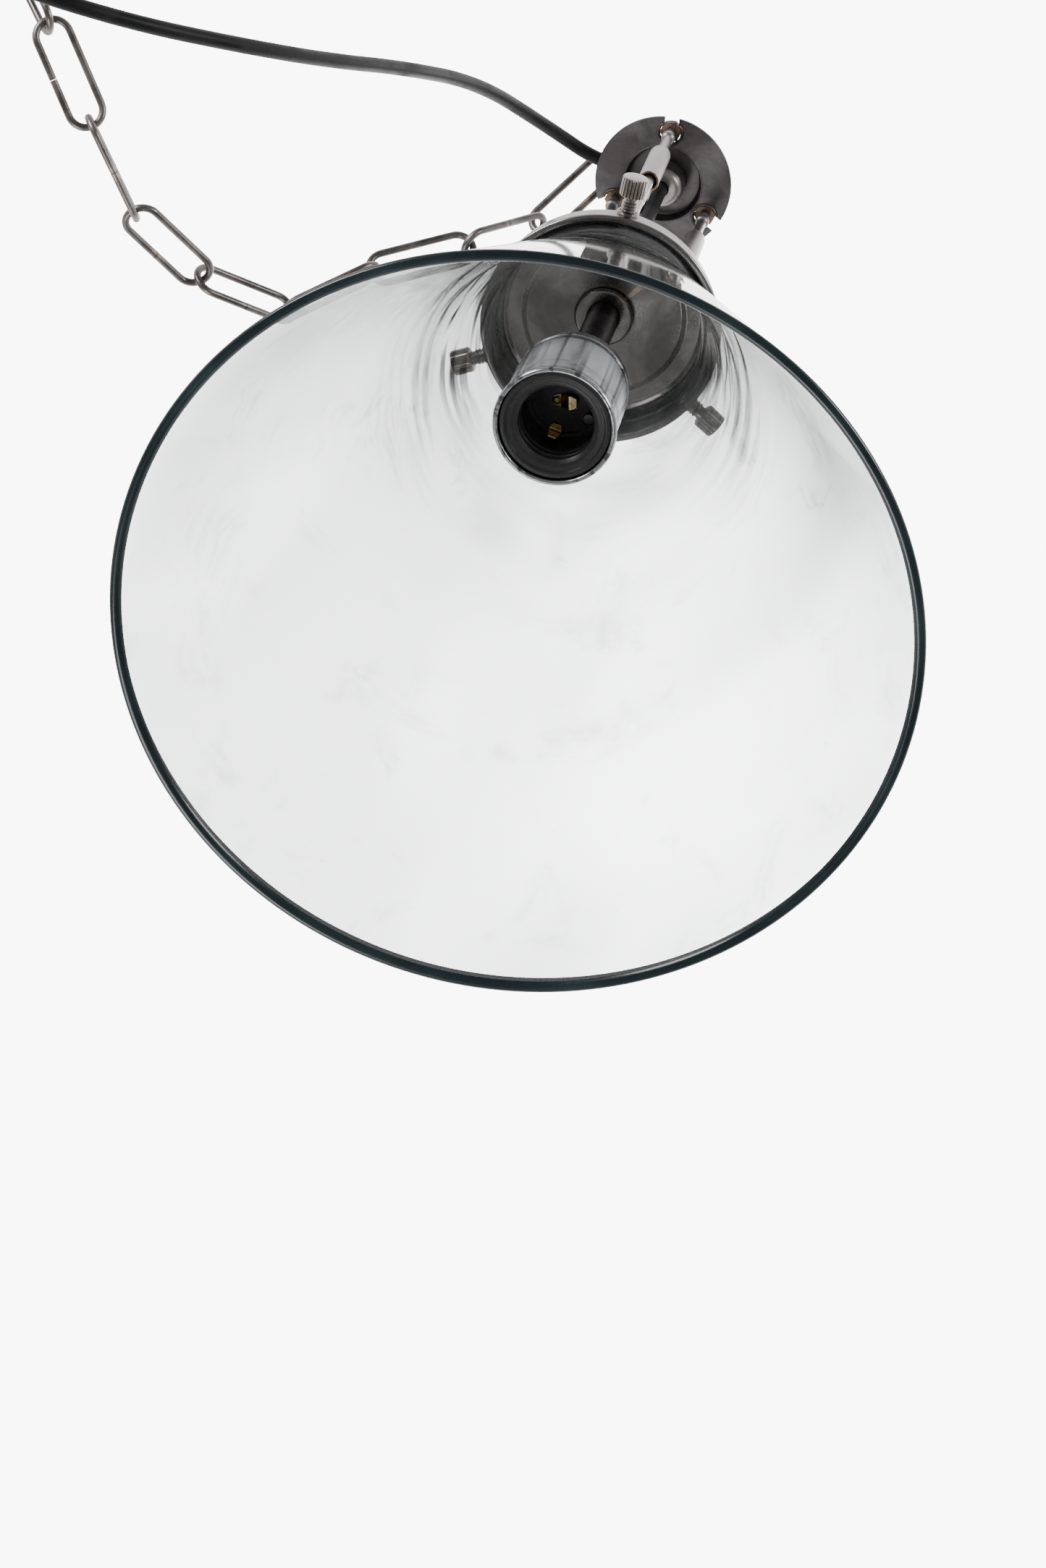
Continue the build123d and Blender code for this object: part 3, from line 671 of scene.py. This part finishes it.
class LAMP_OT_gallery(bpy.types.Operator):
    """Spun gallery with rolled bead and stepped top, its bosses and the flange washer"""
    bl_idname = "lamp.gallery"
    bl_label = "Gallery"

    def execute(self, context):
        top, w, b = GALLERY_TOP, 42.4, BEAD_Z
        outline = [(7.2, top), (27.5, top), (29.5, top - 0.5), (31.0, top - 1.4), (35.4, top - 1.5),
            (36.3, top - 2.3),
                   (37.2, top - 2.7), (40.2, top - 2.8), (41.6, top - 3.4), (w, top - 4.8), (w, b + 4.2),
                       (w + 0.25, b + 3.2),
                   (w + 1.0, b + 2.9), (w + 1.75, b + 2.3), (44.4, b + 1.3), (w + 1.75, b + 0.35),
                       (w + 0.8, b),
                   (w - 0.2, b + 0.25), (w - 0.85, b + 1.0), (w - 1.0, b + 2.2), (w - 1.0, top - 5.2),
                       (40.3, top - 3.9),
                   (36.9, top - 3.7), (35.6, top - 2.5), (30.6, top - 2.4), (28.8, top - 1.1),
                       (7.2, top - 1.0)]
        add("gallery_visual", lathe("gallery", outline, segments=160, radius=0.35), "silver",
            "gallery_group",
            lean_matrix(), ("gallery",), smooth=60)
        bosses = []
        for angle in SCREW_ANGLES:
            boss = lathe("boss", [(3.1, -0.6), (4.0, -0.6), (4.0, 1.0), (3.7, 1.25), (3.1, 1.25)],
                segments=48, radius=0.25)
            boss.transform(turned(angle, 43.7, SCREW_Z) @ Matrix.Rotation(math.pi / 2, 4, "Y"))
            bosses.append(boss)
        add("gallery_bosses_visual", merge("bosses", bosses), "silver", "gallery_group",
            lean_matrix(),
            ("gallery_bosses",))
        flange = lathe("flange", [(6.02, -192.2), (10.2, -192.2), (10.9, -191.5), (10.9, -190.3),
            (6.02, -190.3)], radius=0.3)
        add("flange_washer_visual", flange, "silver", "lamp", None, ("flange_washer",))
        return {"FINISHED"}


class LAMP_OT_thumbscrews(bpy.types.Operator):
    """Three knurled thumbscrews that hold the glass"""
    bl_idname = "lamp.thumbscrews"
    bl_label = "Thumbscrews"

    def execute(self, context):
        knurls = lamp().knurls
        start, end, tip = 50.6, 58.2, 40.1

        def knurl(a, r, z):
            if r < 4.4 or not start + 0.5 < z < end - 0.5:
                return 0.0
            wave = abs((a * knurls / (2 * math.pi)) % 1.0 - 0.5) * 2
            return -0.6 * max(0.0, 1.0 - wave * 2.0)
        points = [(0, tip), (2.2, tip), (2.9, tip + 0.8)]
        x = 43.0
        while x < start - 1.4:
            points += [(2.92, x), (2.92, x + 0.35), (2.40, x + 0.72), (2.40, x + 0.92)]
            x += 1.25
        points += [(2.6, start - 0.6), (2.6, start), (3.9, start), (4.45, start + 0.35), (4.7, start + 0.6),
            (4.7, start + 2.6),
                   (4.7, end - 2.6), (4.7, end - 0.6), (4.3, end - 0.2), (3.3, end), (2.2, end + 0.12),
                       (0, end + 0.15)]
        for number, angle in enumerate(SCREW_ANGLES, 1):
            mesh = lathe("thumbscrew", points, segments=knurls * 10, radius=0.0, ripple=knurl)
            mesh.transform(Matrix.Rotation(math.pi / 2, 4, "Y"))
            mesh.transform(turned(angle, 0.0, SCREW_Z))
            add(f"thumbscrew_{number}_visual", mesh, "silver", f"screw_{number}",
                lean_matrix(),
                (f"thumbscrew_{number}",), smooth=35)
        return {"FINISHED"}


class LAMP_OT_stem(bpy.types.Operator):
    """Threaded nipple, spider plate, locknut and bush"""
    bl_idname = "lamp.stem"
    bl_label = "Stem"

    def execute(self, context):
        points = [(4.2, -249.0), (5.6, -249.0)]
        z = -248.2
        while z < -176.8:
            points += [(5.98, z), (5.62, z + 0.55)]
            z += 1.0
        points += [(5.6, -176.0), (4.2, -176.0)]
        add("nipple_visual", lathe("nipple", points, segments=64, radius=0.0), "bronze", "lamp",
            None,
            ("nipple_tube",), smooth=30)
        hub = GALLERY_TOP + 0.95
        spider = [(6.02, hub), (8.4, hub), (9.0, hub + 0.6), (9.0, -184.5), (25.6, -184.5), (26.0, -184.1),
            (26.0, -182.9),
                  (25.6, -182.5), (6.02, -182.5)]
        add("spider_visual", lathe("spider", spider, segments=96, radius=0.3), "bronze", "lamp",
            None,
            ("spider_plate",))
        add("locknut_visual", prism("locknut", 6, 17.0, -182.5, -178.5, 6.02), "steel", "lamp",
            None,
            ("locknut",))
        paint_cad("nipple_bush", "bakelite")
        return {"FINISHED"}


class LAMP_OT_top(bpy.types.Operator):
    """Dished top disc with keyhole notches, the hanging eye, its hood and the cord-grip collar"""
    bl_idname = "lamp.top"
    bl_label = "Top disc and eye"

    def disc(self):
        """Flat ring with the three keyholes cut in its outline, bevelled, and the dished middle."""
        outer, hole, half, dish = 27.75, 4.4, 3.1, 15.9
        spots = [math.radians(a % 360) for a in PILLAR_ANGLES]
        spots.sort()
        outline = []
        for n, spot in enumerate(spots):
            mouth = math.asin(half / outer)
            begin = spots[n - 1] + mouth - (2 * math.pi if n == 0 else 0)
            for k in range(41):
                a = begin + (spot - mouth - begin) * k / 40
                outline.append((outer * math.cos(a), outer * math.sin(a)))
            gap = math.asin(half / hole)
            for k in range(25):
                a = -gap - (2 * math.pi - 2 * gap) * k / 24
                x, y = PILLAR_CIRCLE_R + hole * math.cos(a), hole * math.sin(a)
                outline.append((x * math.cos(spot) - y * math.sin(spot),
                    x * math.sin(spot) + y * math.cos(spot)))
        curve = bpy.data.curves.new("disc_ring", "CURVE")
        curve.dimensions = "2D"
        curve.fill_mode = "BOTH"
        for loop in (outline, [(dish * math.cos(2 * math.pi * k / 96),
            dish * math.sin(2 * math.pi * k / 96)) for k in range(96)]):
            line = curve.splines.new("POLY")
            line.points.add(len(loop) - 1)
            for point, (x, y) in zip(line.points, loop):
                point.co = (x * MM, y * MM, 0.0, 1.0)
            line.use_cyclic_u = True
        curve.extrude = 0.62 * MM
        curve.bevel_depth = 0.18 * MM
        curve.bevel_resolution = 2
        obj = bpy.data.objects.new("disc_ring", curve)
        bpy.context.scene.collection.objects.link(obj)
        mesh = bpy.data.meshes.new_from_object(obj.evaluated_get(bpy.context.evaluated_depsgraph_get()))
        bpy.data.objects.remove(obj)
        mesh.transform(Matrix.Translation((0, 0, -29.2 * MM)))
        dished = lathe("dish", [(5.1, -24.0), (14.2, -24.0), (14.9, -24.6), (15.3, -29.2), (15.7, -30.1),
            (16.3, -30.1),
                                (16.6, -29.0), (16.2, -28.4), (15.6, -23.1), (15.0, -22.4), (5.1, -22.4)],
                                    segments=128, radius=0.25)
        return merge("disc", [mesh, dished])

    def lips(self):
        """Raised lip round each keyhole, open where the slot runs out."""
        made = []
        for angle in PILLAR_ANGLES:
            gap = math.asin(3.3 / 4.9)
            ring = [(4.95 * MM * math.cos(-gap - (2 * math.pi - 2 * gap) * k / 40),
                4.95 * MM * math.sin(-gap - (2 * math.pi - 2 * gap) * k / 40), 0)
                    for k in range(41)]
            mesh = tube_mesh("lip", ring, 0.5 * MM, sides=12)
            mesh.transform(turned(angle, PILLAR_CIRCLE_R, -30.25))
            made.append(mesh)
        return merge("lips", made)

    def execute(self, context):
        add("top_disc_visual", self.disc(), "dark_disc", "lamp", None, ("top_disc",),
            smooth=35)
        add("disc_lips", self.lips(), "bronze", "lamp")
        ring = lathe("eye", [(10.0, -1.1), (10.45, -2.1), (11.4, -2.5), (13.6, -2.5), (14.6, -2.1),
            (15.0, -1.1), (15.0, 1.1),
                             (14.6, 2.1), (13.6, 2.5), (11.4, 2.5), (10.45, 2.1), (10.0, 1.1)],
                                 segments=128, radius=0.4)
        ring.transform(Matrix.Rotation(math.pi / 2, 4, "X"))
        hood = lathe("hood", [(5.02, -22.4), (9.5, -22.4), (9.5, -15.8), (8.9, -13.8), (6.8, -12.8),
            (3.6, -12.8), (3.6, -14.4),
                              (6.4, -14.4), (8.1, -16.0), (8.1, -20.4), (5.02, -20.4)], segments=96,
                                  radius=0.5)
        post = lathe("post", [(0, -10.2), (2.4, -10.2), (2.8, -11.6), (4.4, -12.9), (4.4, -14.2),
            (0, -14.2)], segments=64, radius=0.4)
        add("hanging_eye_visual", merge("hanging_eye", [ring, hood, post]), "bronze", "lamp",
            None,
            ("hanging_eye",))
        collar = lathe("collar", [(5.02, -24.1), (8.7, -24.1), (8.7, -33.2), (8.3, -34.8), (7.4, -36.2),
            (6.2, -37.0), (3.1, -37.0),
                                  (3.1, -35.0), (5.02, -35.0)], segments=96, radius=0.4)
        add("cord_collar_visual", collar, "satin", "lamp", None, ("cord_collar",))
        paint_cad("disc_nipple", "steel")
        grommet = lathe("grommet", [(2.9, -0.9), (3.5, -0.9), (3.9, 0.0), (3.5, 1.1), (2.9, 1.1)],
            segments=48, radius=0.3)
        heading = math.degrees(math.atan2(-1.0, -10.8))
        grommet.transform(Matrix.Rotation(math.radians(heading), 4,
            "Z") @ Matrix.Translation((9.0 * MM, 0, -17.5 * MM)) @ Matrix.Rotation(math.pi / 2, 4, "Y"))
        add("hood_grommet", grommet, "bakelite", "lamp")
        return {"FINISHED"}


class LAMP_OT_pillars(bpy.types.Operator):
    """Three stepped pillars with open-ended sleeves, and their nuts"""
    bl_idname = "lamp.pillars"
    bl_label = "Pillars"

    def execute(self, context):
        low = [(0, -182.5), (3.6, -182.5), (3.6, -178.4), (2.9, -177.4), (2.3, -176.5), (2.3, -150.0),
            (2.0, -149.0),
               (2.0, -120.0), (2.3, -119.0), (2.3, -87.0), (3.3, -86.9), (3.3, -93.9), (3.5, -94.0),
                   (4.1, -94.0), (4.2, -93.6),
               (4.2, -60.6), (4.0, -59.2), (3.4, -57.4), (2.4, -56.2), (1.95, -55.0), (1.9, -38.4),
                   (2.5, -38.0), (2.85, -37.2),
               (2.9, -36.4), (2.75, -35.4), (2.4, -34.8), (1.9, -34.4), (1.9, -23.2), (1.7, -23.0),
                   (0, -23.0)]
        for number, angle in enumerate(PILLAR_ANGLES, 1):
            mesh = lathe("pillar", low, segments=64, radius=0.25)
            for face in mesh.polygons:
                if -94.2 * MM < face.center.z < -93.85 * MM:
                    face.material_index = 1
            add(f"pillar_{number}_visual", mesh, ("satin", "copper"), "lamp",
                turned(angle, PILLAR_CIRCLE_R),
                (f"pillar_{number}",), smooth=45)
        nuts = []
        for angle in PILLAR_ANGLES:
            nut = prism("nut", 6, 8.0, -28.4, -25.2, 1.92)
            nut.transform(turned(angle, PILLAR_CIRCLE_R) @ Matrix.Rotation(math.radians(angle * 3), 4, "Z"))
            nuts.append(nut)
        add("pillar_nuts_visual", merge("nuts", nuts), "bronze", "lamp", None,
            ("pillar_nuts",))
        return {"FINISHED"}


class LAMP_OT_holder(bpy.types.Operator):
    """Chromed lampholder with its dark liner, stepped face, screw rings and core"""
    bl_idname = "lamp.holder"
    bl_label = "Lampholder"

    def execute(self, context):
        z, t = RIM_Z, SKIRT_TOP
        skirt = [(20.8, z + 3.0), (20.6, z + 6.0), (20.6, z + 10.0), (20.35, z + 10.5), (20.35, z + 11.6),
            (20.6, z + 12.1),
                 (20.4, t - 3.0), (20.2, t - 1.4), (19.6, t - 0.1), (19.0, t), (19.5, t - 1.8),
                     (19.75, z + 6.0), (19.9, z + 3.0),
                 (19.9, z + 1.8), (19.7, z + 1.0), (19.95, z + 0.35), (20.5, z), (21.1, z + 0.1),
                     (21.6, z + 0.7),
                 (21.7, z + 1.3), (21.5, z + 2.0), (21.1, z + 2.5)]
        add("holder_skirt_visual", lathe("skirt", skirt, segments=128, radius=0.3), "chrome", "skirt",
            None,
            ("holder_skirt",), smooth=50)
        c = -243.0
        cap = [(6.02, c), (7.6, c), (8.0, c - 0.5), (8.4, c - 5.0), (9.4, c - 7.2), (11.0, c - 8.7),
            (13.8, c - 10.4), (16.5, c - 12.5),
               (18.5, c - 15.0), (19.6, c - 18.0), (20.2, t + 1.2), (20.2, t + 0.4), (18.65, t + 0.4),
                   (18.65, t - 5.5),
               (17.45, t - 5.5), (17.45, t + 1.5), (18.4, c - 18.0), (15.6, c - 13.7), (10.0, c - 9.7),
                   (6.02, c - 8.0)]
        add("holder_cap_visual", lathe("cap", cap, segments=128, radius=0.3), "chrome", "lamp",
            None,
            ("holder_cap",), smooth=50)
        r = 13.2
        liner = [(19.4, z + 1.6), (17.9, z + 1.5), (17.4, z + 1.7), (17.2, z + 2.5), (15.4, z + 2.5),
            (14.6, z + 2.8), (r, z + 3.9)]
        ring = z + 5.4
        while ring + 3.6 < SOCKET_FLOOR - 12:
            liner += [(r, ring), (r + 0.45, ring + 0.45), (r + 0.8, ring + 1.1), (r + 0.45, ring + 1.9),
                (r, ring + 2.4)]
            ring += 3.6
        liner += [(r, SOCKET_FLOOR - 12), (r + 0.7, SOCKET_FLOOR - 12), (r + 0.7, SOCKET_FLOOR),
            (18.2, SOCKET_FLOOR), (18.2, SOCKET_FLOOR - 8), (19.4, SOCKET_FLOOR - 9)]
        add("holder_liner_visual", lathe("liner", liner, segments=128, radius=0.25), "bakelite", "lamp",
            None,
            ("holder_liner",), smooth=50)
        paint_cad("holder_core", "bakelite")
        paint_cad("terminals", "brass")
        paint_cad("flex_inside", "flex")
        paint_cad("flex_cores", "flex")
        return {"FINISHED"}


class LAMP_OT_contacts(bpy.types.Operator):
    """Brass centre tongue and side strip of the lampholder"""
    bl_idname = "lamp.contacts"
    bl_label = "Contacts"

    def strip(self, line, width):
        """Sheet strip that follows a (x, z) line, with rounded ends."""
        bm = bmesh.new()
        rows = []
        half = width / 2
        for i, (x, z) in enumerate(line):
            end = 0.65 if i in (0, len(line) - 1) else 1.0
            rows.append([bm.verts.new((x * MM, y * half * end * MM, z * MM)) for y in (-1, -0.5, 0, 0.5,
                1)])
        for a, b in zip(rows, rows[1:]):
            for k in range(4):
                bm.faces.new((a[k], a[k + 1], b[k + 1], b[k]))
        mesh = bpy.data.meshes.new("strip")
        bm.to_mesh(mesh)
        bm.free()
        return mesh

    def sheet(self, name, mesh, body, node, matrix):
        obj = add(name, mesh, "brass", body, matrix, (node,), smooth=0)
        thick = obj.modifiers.new("thickness", "SOLIDIFY")
        thick.thickness = 0.55 * MM
        thick.offset = 0.0
        bevel = obj.modifiers.new("edges", "BEVEL")
        bevel.width = 0.1 * MM
        bevel.segments = 2
        return obj

    def execute(self, context):
        z = SOCKET_FLOOR - 0.33
        tongue = [(-4.5, z), (-1.8, z), (-1.0, z - 0.35), (0.6, z - 2.2), (1.4, z - 2.55), (2.2, z - 2.6),
            (4.1, z - 2.6)]
        self.sheet("centre_contact_visual", self.strip(tongue, 5.0), "centre_spring", "centre_contact",
            None)
        rivet = lathe("rivet", [(0, z - 1.0), (1.0, z - 0.9), (1.5, z - 0.5), (1.6, z - 0.25),
            (0, z - 0.25)], segments=32, radius=0.2)
        rivet.transform(Matrix.Translation((-3.3 * MM, 0, 0)))
        add("centre_rivet", rivet, "brass", "centre_spring")
        eyelet = lathe("eyelet", [(0, z - 2.87), (1.0, z - 2.87), (1.0, z - 2.6), (0, z - 2.6)],
            segments=32, radius=0.05)
        eyelet.transform(Matrix.Translation((2.9 * MM, 0, 0)))
        add("centre_hole", eyelet, "bakelite", "centre_spring")
        side = [(9.6, z), (11.4, z), (12.1, z - 0.5), (12.1, z - 1.6), (11.7, z - 7.2), (11.2, z - 8.6),
            (10.2, z - 10.9)]
        self.sheet("side_contact_visual", self.strip(side, 4.6), "side_spring", "side_contact",
            turned(109.0))
        heads = []
        for x, y in ((-8.0, -6.5), (8.0, 6.5)):
            head = lathe("screw_head", [(0, z - 0.9), (1.9, z - 0.9), (2.2, z - 0.5), (2.2, z + 0.3),
                (0, z + 0.3)], segments=40, radius=0.25)
            head.transform(Matrix.Translation((x * MM, y * MM, 0)))
            heads.append(head)
        add("base_screws", merge("base_screws", heads), "steel", "lamp")
        return {"FINISHED"}


def heading(plan, rise):
    plan, rise = math.radians(plan), math.radians(rise)
    return Vector((math.cos(plan) * math.cos(rise), math.sin(plan) * math.cos(rise), math.sin(rise)))


class LAMP_OT_chain(bpy.types.Operator):
    """Slack chain of oblong links with butt joints, and its jump ring"""
    bl_idname = "lamp.chain"
    bl_label = "Chain"

    wire, play, length, width = 1.5, 0.4, 46.5, 16.5

    def depth(self, a, b):
        return (2 * self.wire + self.play) / 2 * (1 + 0.6 * (1 - a.dot(b)))

    def link(self, name, middle, direction, across, body, node):
        """Open wire bent to an oblong, starting and ending at the butt joint half-way along one side."""
        bend = self.width / 2 - self.wire
        straight = self.length - 2 * self.wire - 2 * bend
        gap = 0.16
        line = [(gap, bend)] + [(straight / 2 * k / 6, bend) for k in range(1, 7)]
        line += [(straight / 2 + bend * math.sin(a),
            bend * math.cos(a)) for a in (math.pi * k / 20 for k in range(1, 20))]
        line += [(straight / 2 * k / 6, -bend) for k in range(6, -7, -1)]
        line += [(-straight / 2 - bend * math.sin(a),
            -bend * math.cos(a)) for a in (math.pi * k / 20 for k in range(1, 20))]
        line += [(-straight / 2 * k / 6, bend) for k in range(6, 0, -1)] + [(-gap, bend)]
        points = [(middle + direction * x + across * y) * MM for x, y in line]
        mesh = tube_mesh(name, points, lamp().wire_radius, sides=20)
        return add(name, mesh, "pewter", body, None, (node,), smooth=40)

    def execute(self, context):
        directions = [heading(*h) for h in CHAIN_HEADINGS]
        ring_direction = Vector(RING_DIRECTION).normalized()
        level = Vector((0, 1, 0))
        up = ring_direction.cross(level)
        roll = math.radians(-28.0)
        across = level * math.cos(roll) + up * math.sin(roll)
        middle = ring_direction * (10.0 - 1.5 - 0.5 + 10.4)
        points = [(middle + (ring_direction * math.cos(a) + across * math.sin(a)) * 10.4) * MM
                  for a in (math.radians(40.5 + 359.0 * k / 72) for k in range(73))]
        add("jump_ring_visual", tube_mesh("jump_ring", points, 1.5 * MM, sides=20), "pewter", "ring",
            None, ("jump_ring",))
        bearing = middle + ring_direction * (10.4 - self.depth(ring_direction, directions[0]))
        for i, (direction, roll) in enumerate(zip(directions, CHAIN_ROLLS)):
            before = directions[i - 1] if i else ring_direction
            start = bearing - direction * self.depth(before, direction)
            end = start + direction * (self.length - 2 * self.wire)
            side = direction.cross(Vector((0, 0, 1))).normalized()
            other = direction.cross(side)
            across = side * math.cos(math.radians(roll)) + other * math.sin(math.radians(roll))
            self.link(f"chain_link_{i + 1}_visual", (start + end) / 2, direction, across, f"link_{i + 1}",
                f"chain_link_{i + 1}")
            if i + 1 < len(directions):
                bearing = end - direction * self.depth(direction, directions[i + 1])
        return {"FINISHED"}


class LAMP_OT_rose(bpy.types.Operator):
    """Ceiling rose with its eye bolt, nut, gland, bar and screws"""
    bl_idname = "lamp.rose"
    bl_label = "Ceiling rose"

    def execute(self, context):
        place = Matrix.Translation(Vector((ROSE[0], ROSE[1], 0)) * MM)
        low, high, r = -42.0, -23.0, 30.0
        dish = [(2.6, low), (22.0, low), (24.0, low + 0.4), (26.6, low + 3.0), (28.4, low + 7.0),
            (29.6, low + 11.0), (r, low + 14.0),
                (r, high), (r - 1.2, high), (r - 1.2, low + 14.0), (28.4, low + 11.4), (27.2, low + 7.6),
                    (25.6, low + 4.0),
                (23.6, low + 1.8), (22.0, low + 1.2), (2.6, low + 1.2)]
        add("rose_canopy_visual", lathe("canopy", dish, segments=128, radius=0.5), "bronze", "lamp",
            place,
            ("ceiling_rose",), smooth=50)
        last = heading(*CHAIN_HEADINGS[-1])
        side = last.cross(Vector((0, 0, 1))).normalized()
        across = side * math.cos(math.radians(CHAIN_ROLLS[-1])) + last.cross(side) * math.sin(math.radians(CHAIN_ROLLS[-1]))
        facing = Vector((across.x, across.y, 0)).normalized()
        wide = facing.cross(Vector((0, 0, 1)))
        centre = Vector((0, 0, ROSE_EYE_Z))
        points = [(centre + (wide * math.cos(a) + Vector((0, 0,
            1)) * math.sin(a)) * 8.5) * MM for a in (2 * math.pi * k / 64 for k in range(64))]
        eye = tube_mesh("rose_eye", points, 2.0 * MM, closed=True, sides=24)
        stem = lathe("stem", [(0, ROSE_EYE_Z + 8.0), (2.5, ROSE_EYE_Z + 8.0), (2.5, low - 2.2),
            (3.6, low - 1.5), (4.0, low - 1.2), (4.0, low),
                              (2.5, low), (2.5, low + 6.8), (0, low + 7.0)], segments=64, radius=0.3)
        add("rose_eye_visual", merge("rose_eye", [eye, stem]), "pewter", "lamp", place,
            ("rose_eye",))
        gland = Matrix.Translation(Vector((*FLEX_GLAND, 0)) * MM)
        taper = [(2.9, -54.0), (3.5, -54.0), (3.7, -53.4), (4.3, -51.6), (4.0, -51.0), (4.9, -50.2),
            (4.6, -49.6), (6.0, -48.0), (6.0, low),
                 (4.0, low), (4.0, low + 5.0), (2.9, low + 5.0)]
        add("rose_gland_visual", lathe("gland", taper, segments=64, radius=0.25), "bakelite", "lamp",
            gland, ("rose_gland",))
        for node, key in (("rose_nut", "steel"), ("rose_bar", "steel"), ("rose_screws", "steel")):
            paint_cad(node, key)
        return {"FINISHED"}


class LAMP_PT_panel(bpy.types.Panel):
    """Sizes and steps of the pendant lamp"""
    bl_idname = "LAMP_PT_panel"
    bl_label = "Pendant lamp"
    bl_space_type = "VIEW_3D"
    bl_region_type = "UI"
    bl_category = "Pendant lamp"

    def draw(self, context):
        sizes = context.scene.lamp_sizes
        for name in ("mouth_radius", "glass_wall", "wire_radius", "flex_radius", "knurls"):
            self.layout.prop(sizes, name)
        for cls in OPERATORS:
            self.layout.operator(cls.bl_idname)


OPERATORS = (LAMP_OT_stage, LAMP_OT_flex, LAMP_OT_shade, LAMP_OT_gallery, LAMP_OT_thumbscrews, LAMP_OT_stem,
    LAMP_OT_top,
             LAMP_OT_pillars, LAMP_OT_holder, LAMP_OT_contacts, LAMP_OT_chain, LAMP_OT_rose)
CLASSES = (LampSizes, StageSizes, *OPERATORS, LAMP_PT_panel)


def register():
    for cls in CLASSES:
        bpy.utils.register_class(cls)
    bpy.types.Scene.lamp_sizes = bpy.props.PointerProperty(type=LampSizes)
    bpy.types.Scene.lamp_stage = bpy.props.PointerProperty(type=StageSizes)


def unregister():
    del bpy.types.Scene.lamp_stage
    del bpy.types.Scene.lamp_sizes
    for cls in reversed(CLASSES):
        bpy.utils.unregister_class(cls)


def main():
    register()
    for cls in OPERATORS:
        area, name = cls.bl_idname.split(".")
        if getattr(getattr(bpy.ops, area), name)() != {"FINISHED"}:
            raise RuntimeError(f"{cls.bl_label} was not made")


if __name__ == "__main__":
    main()
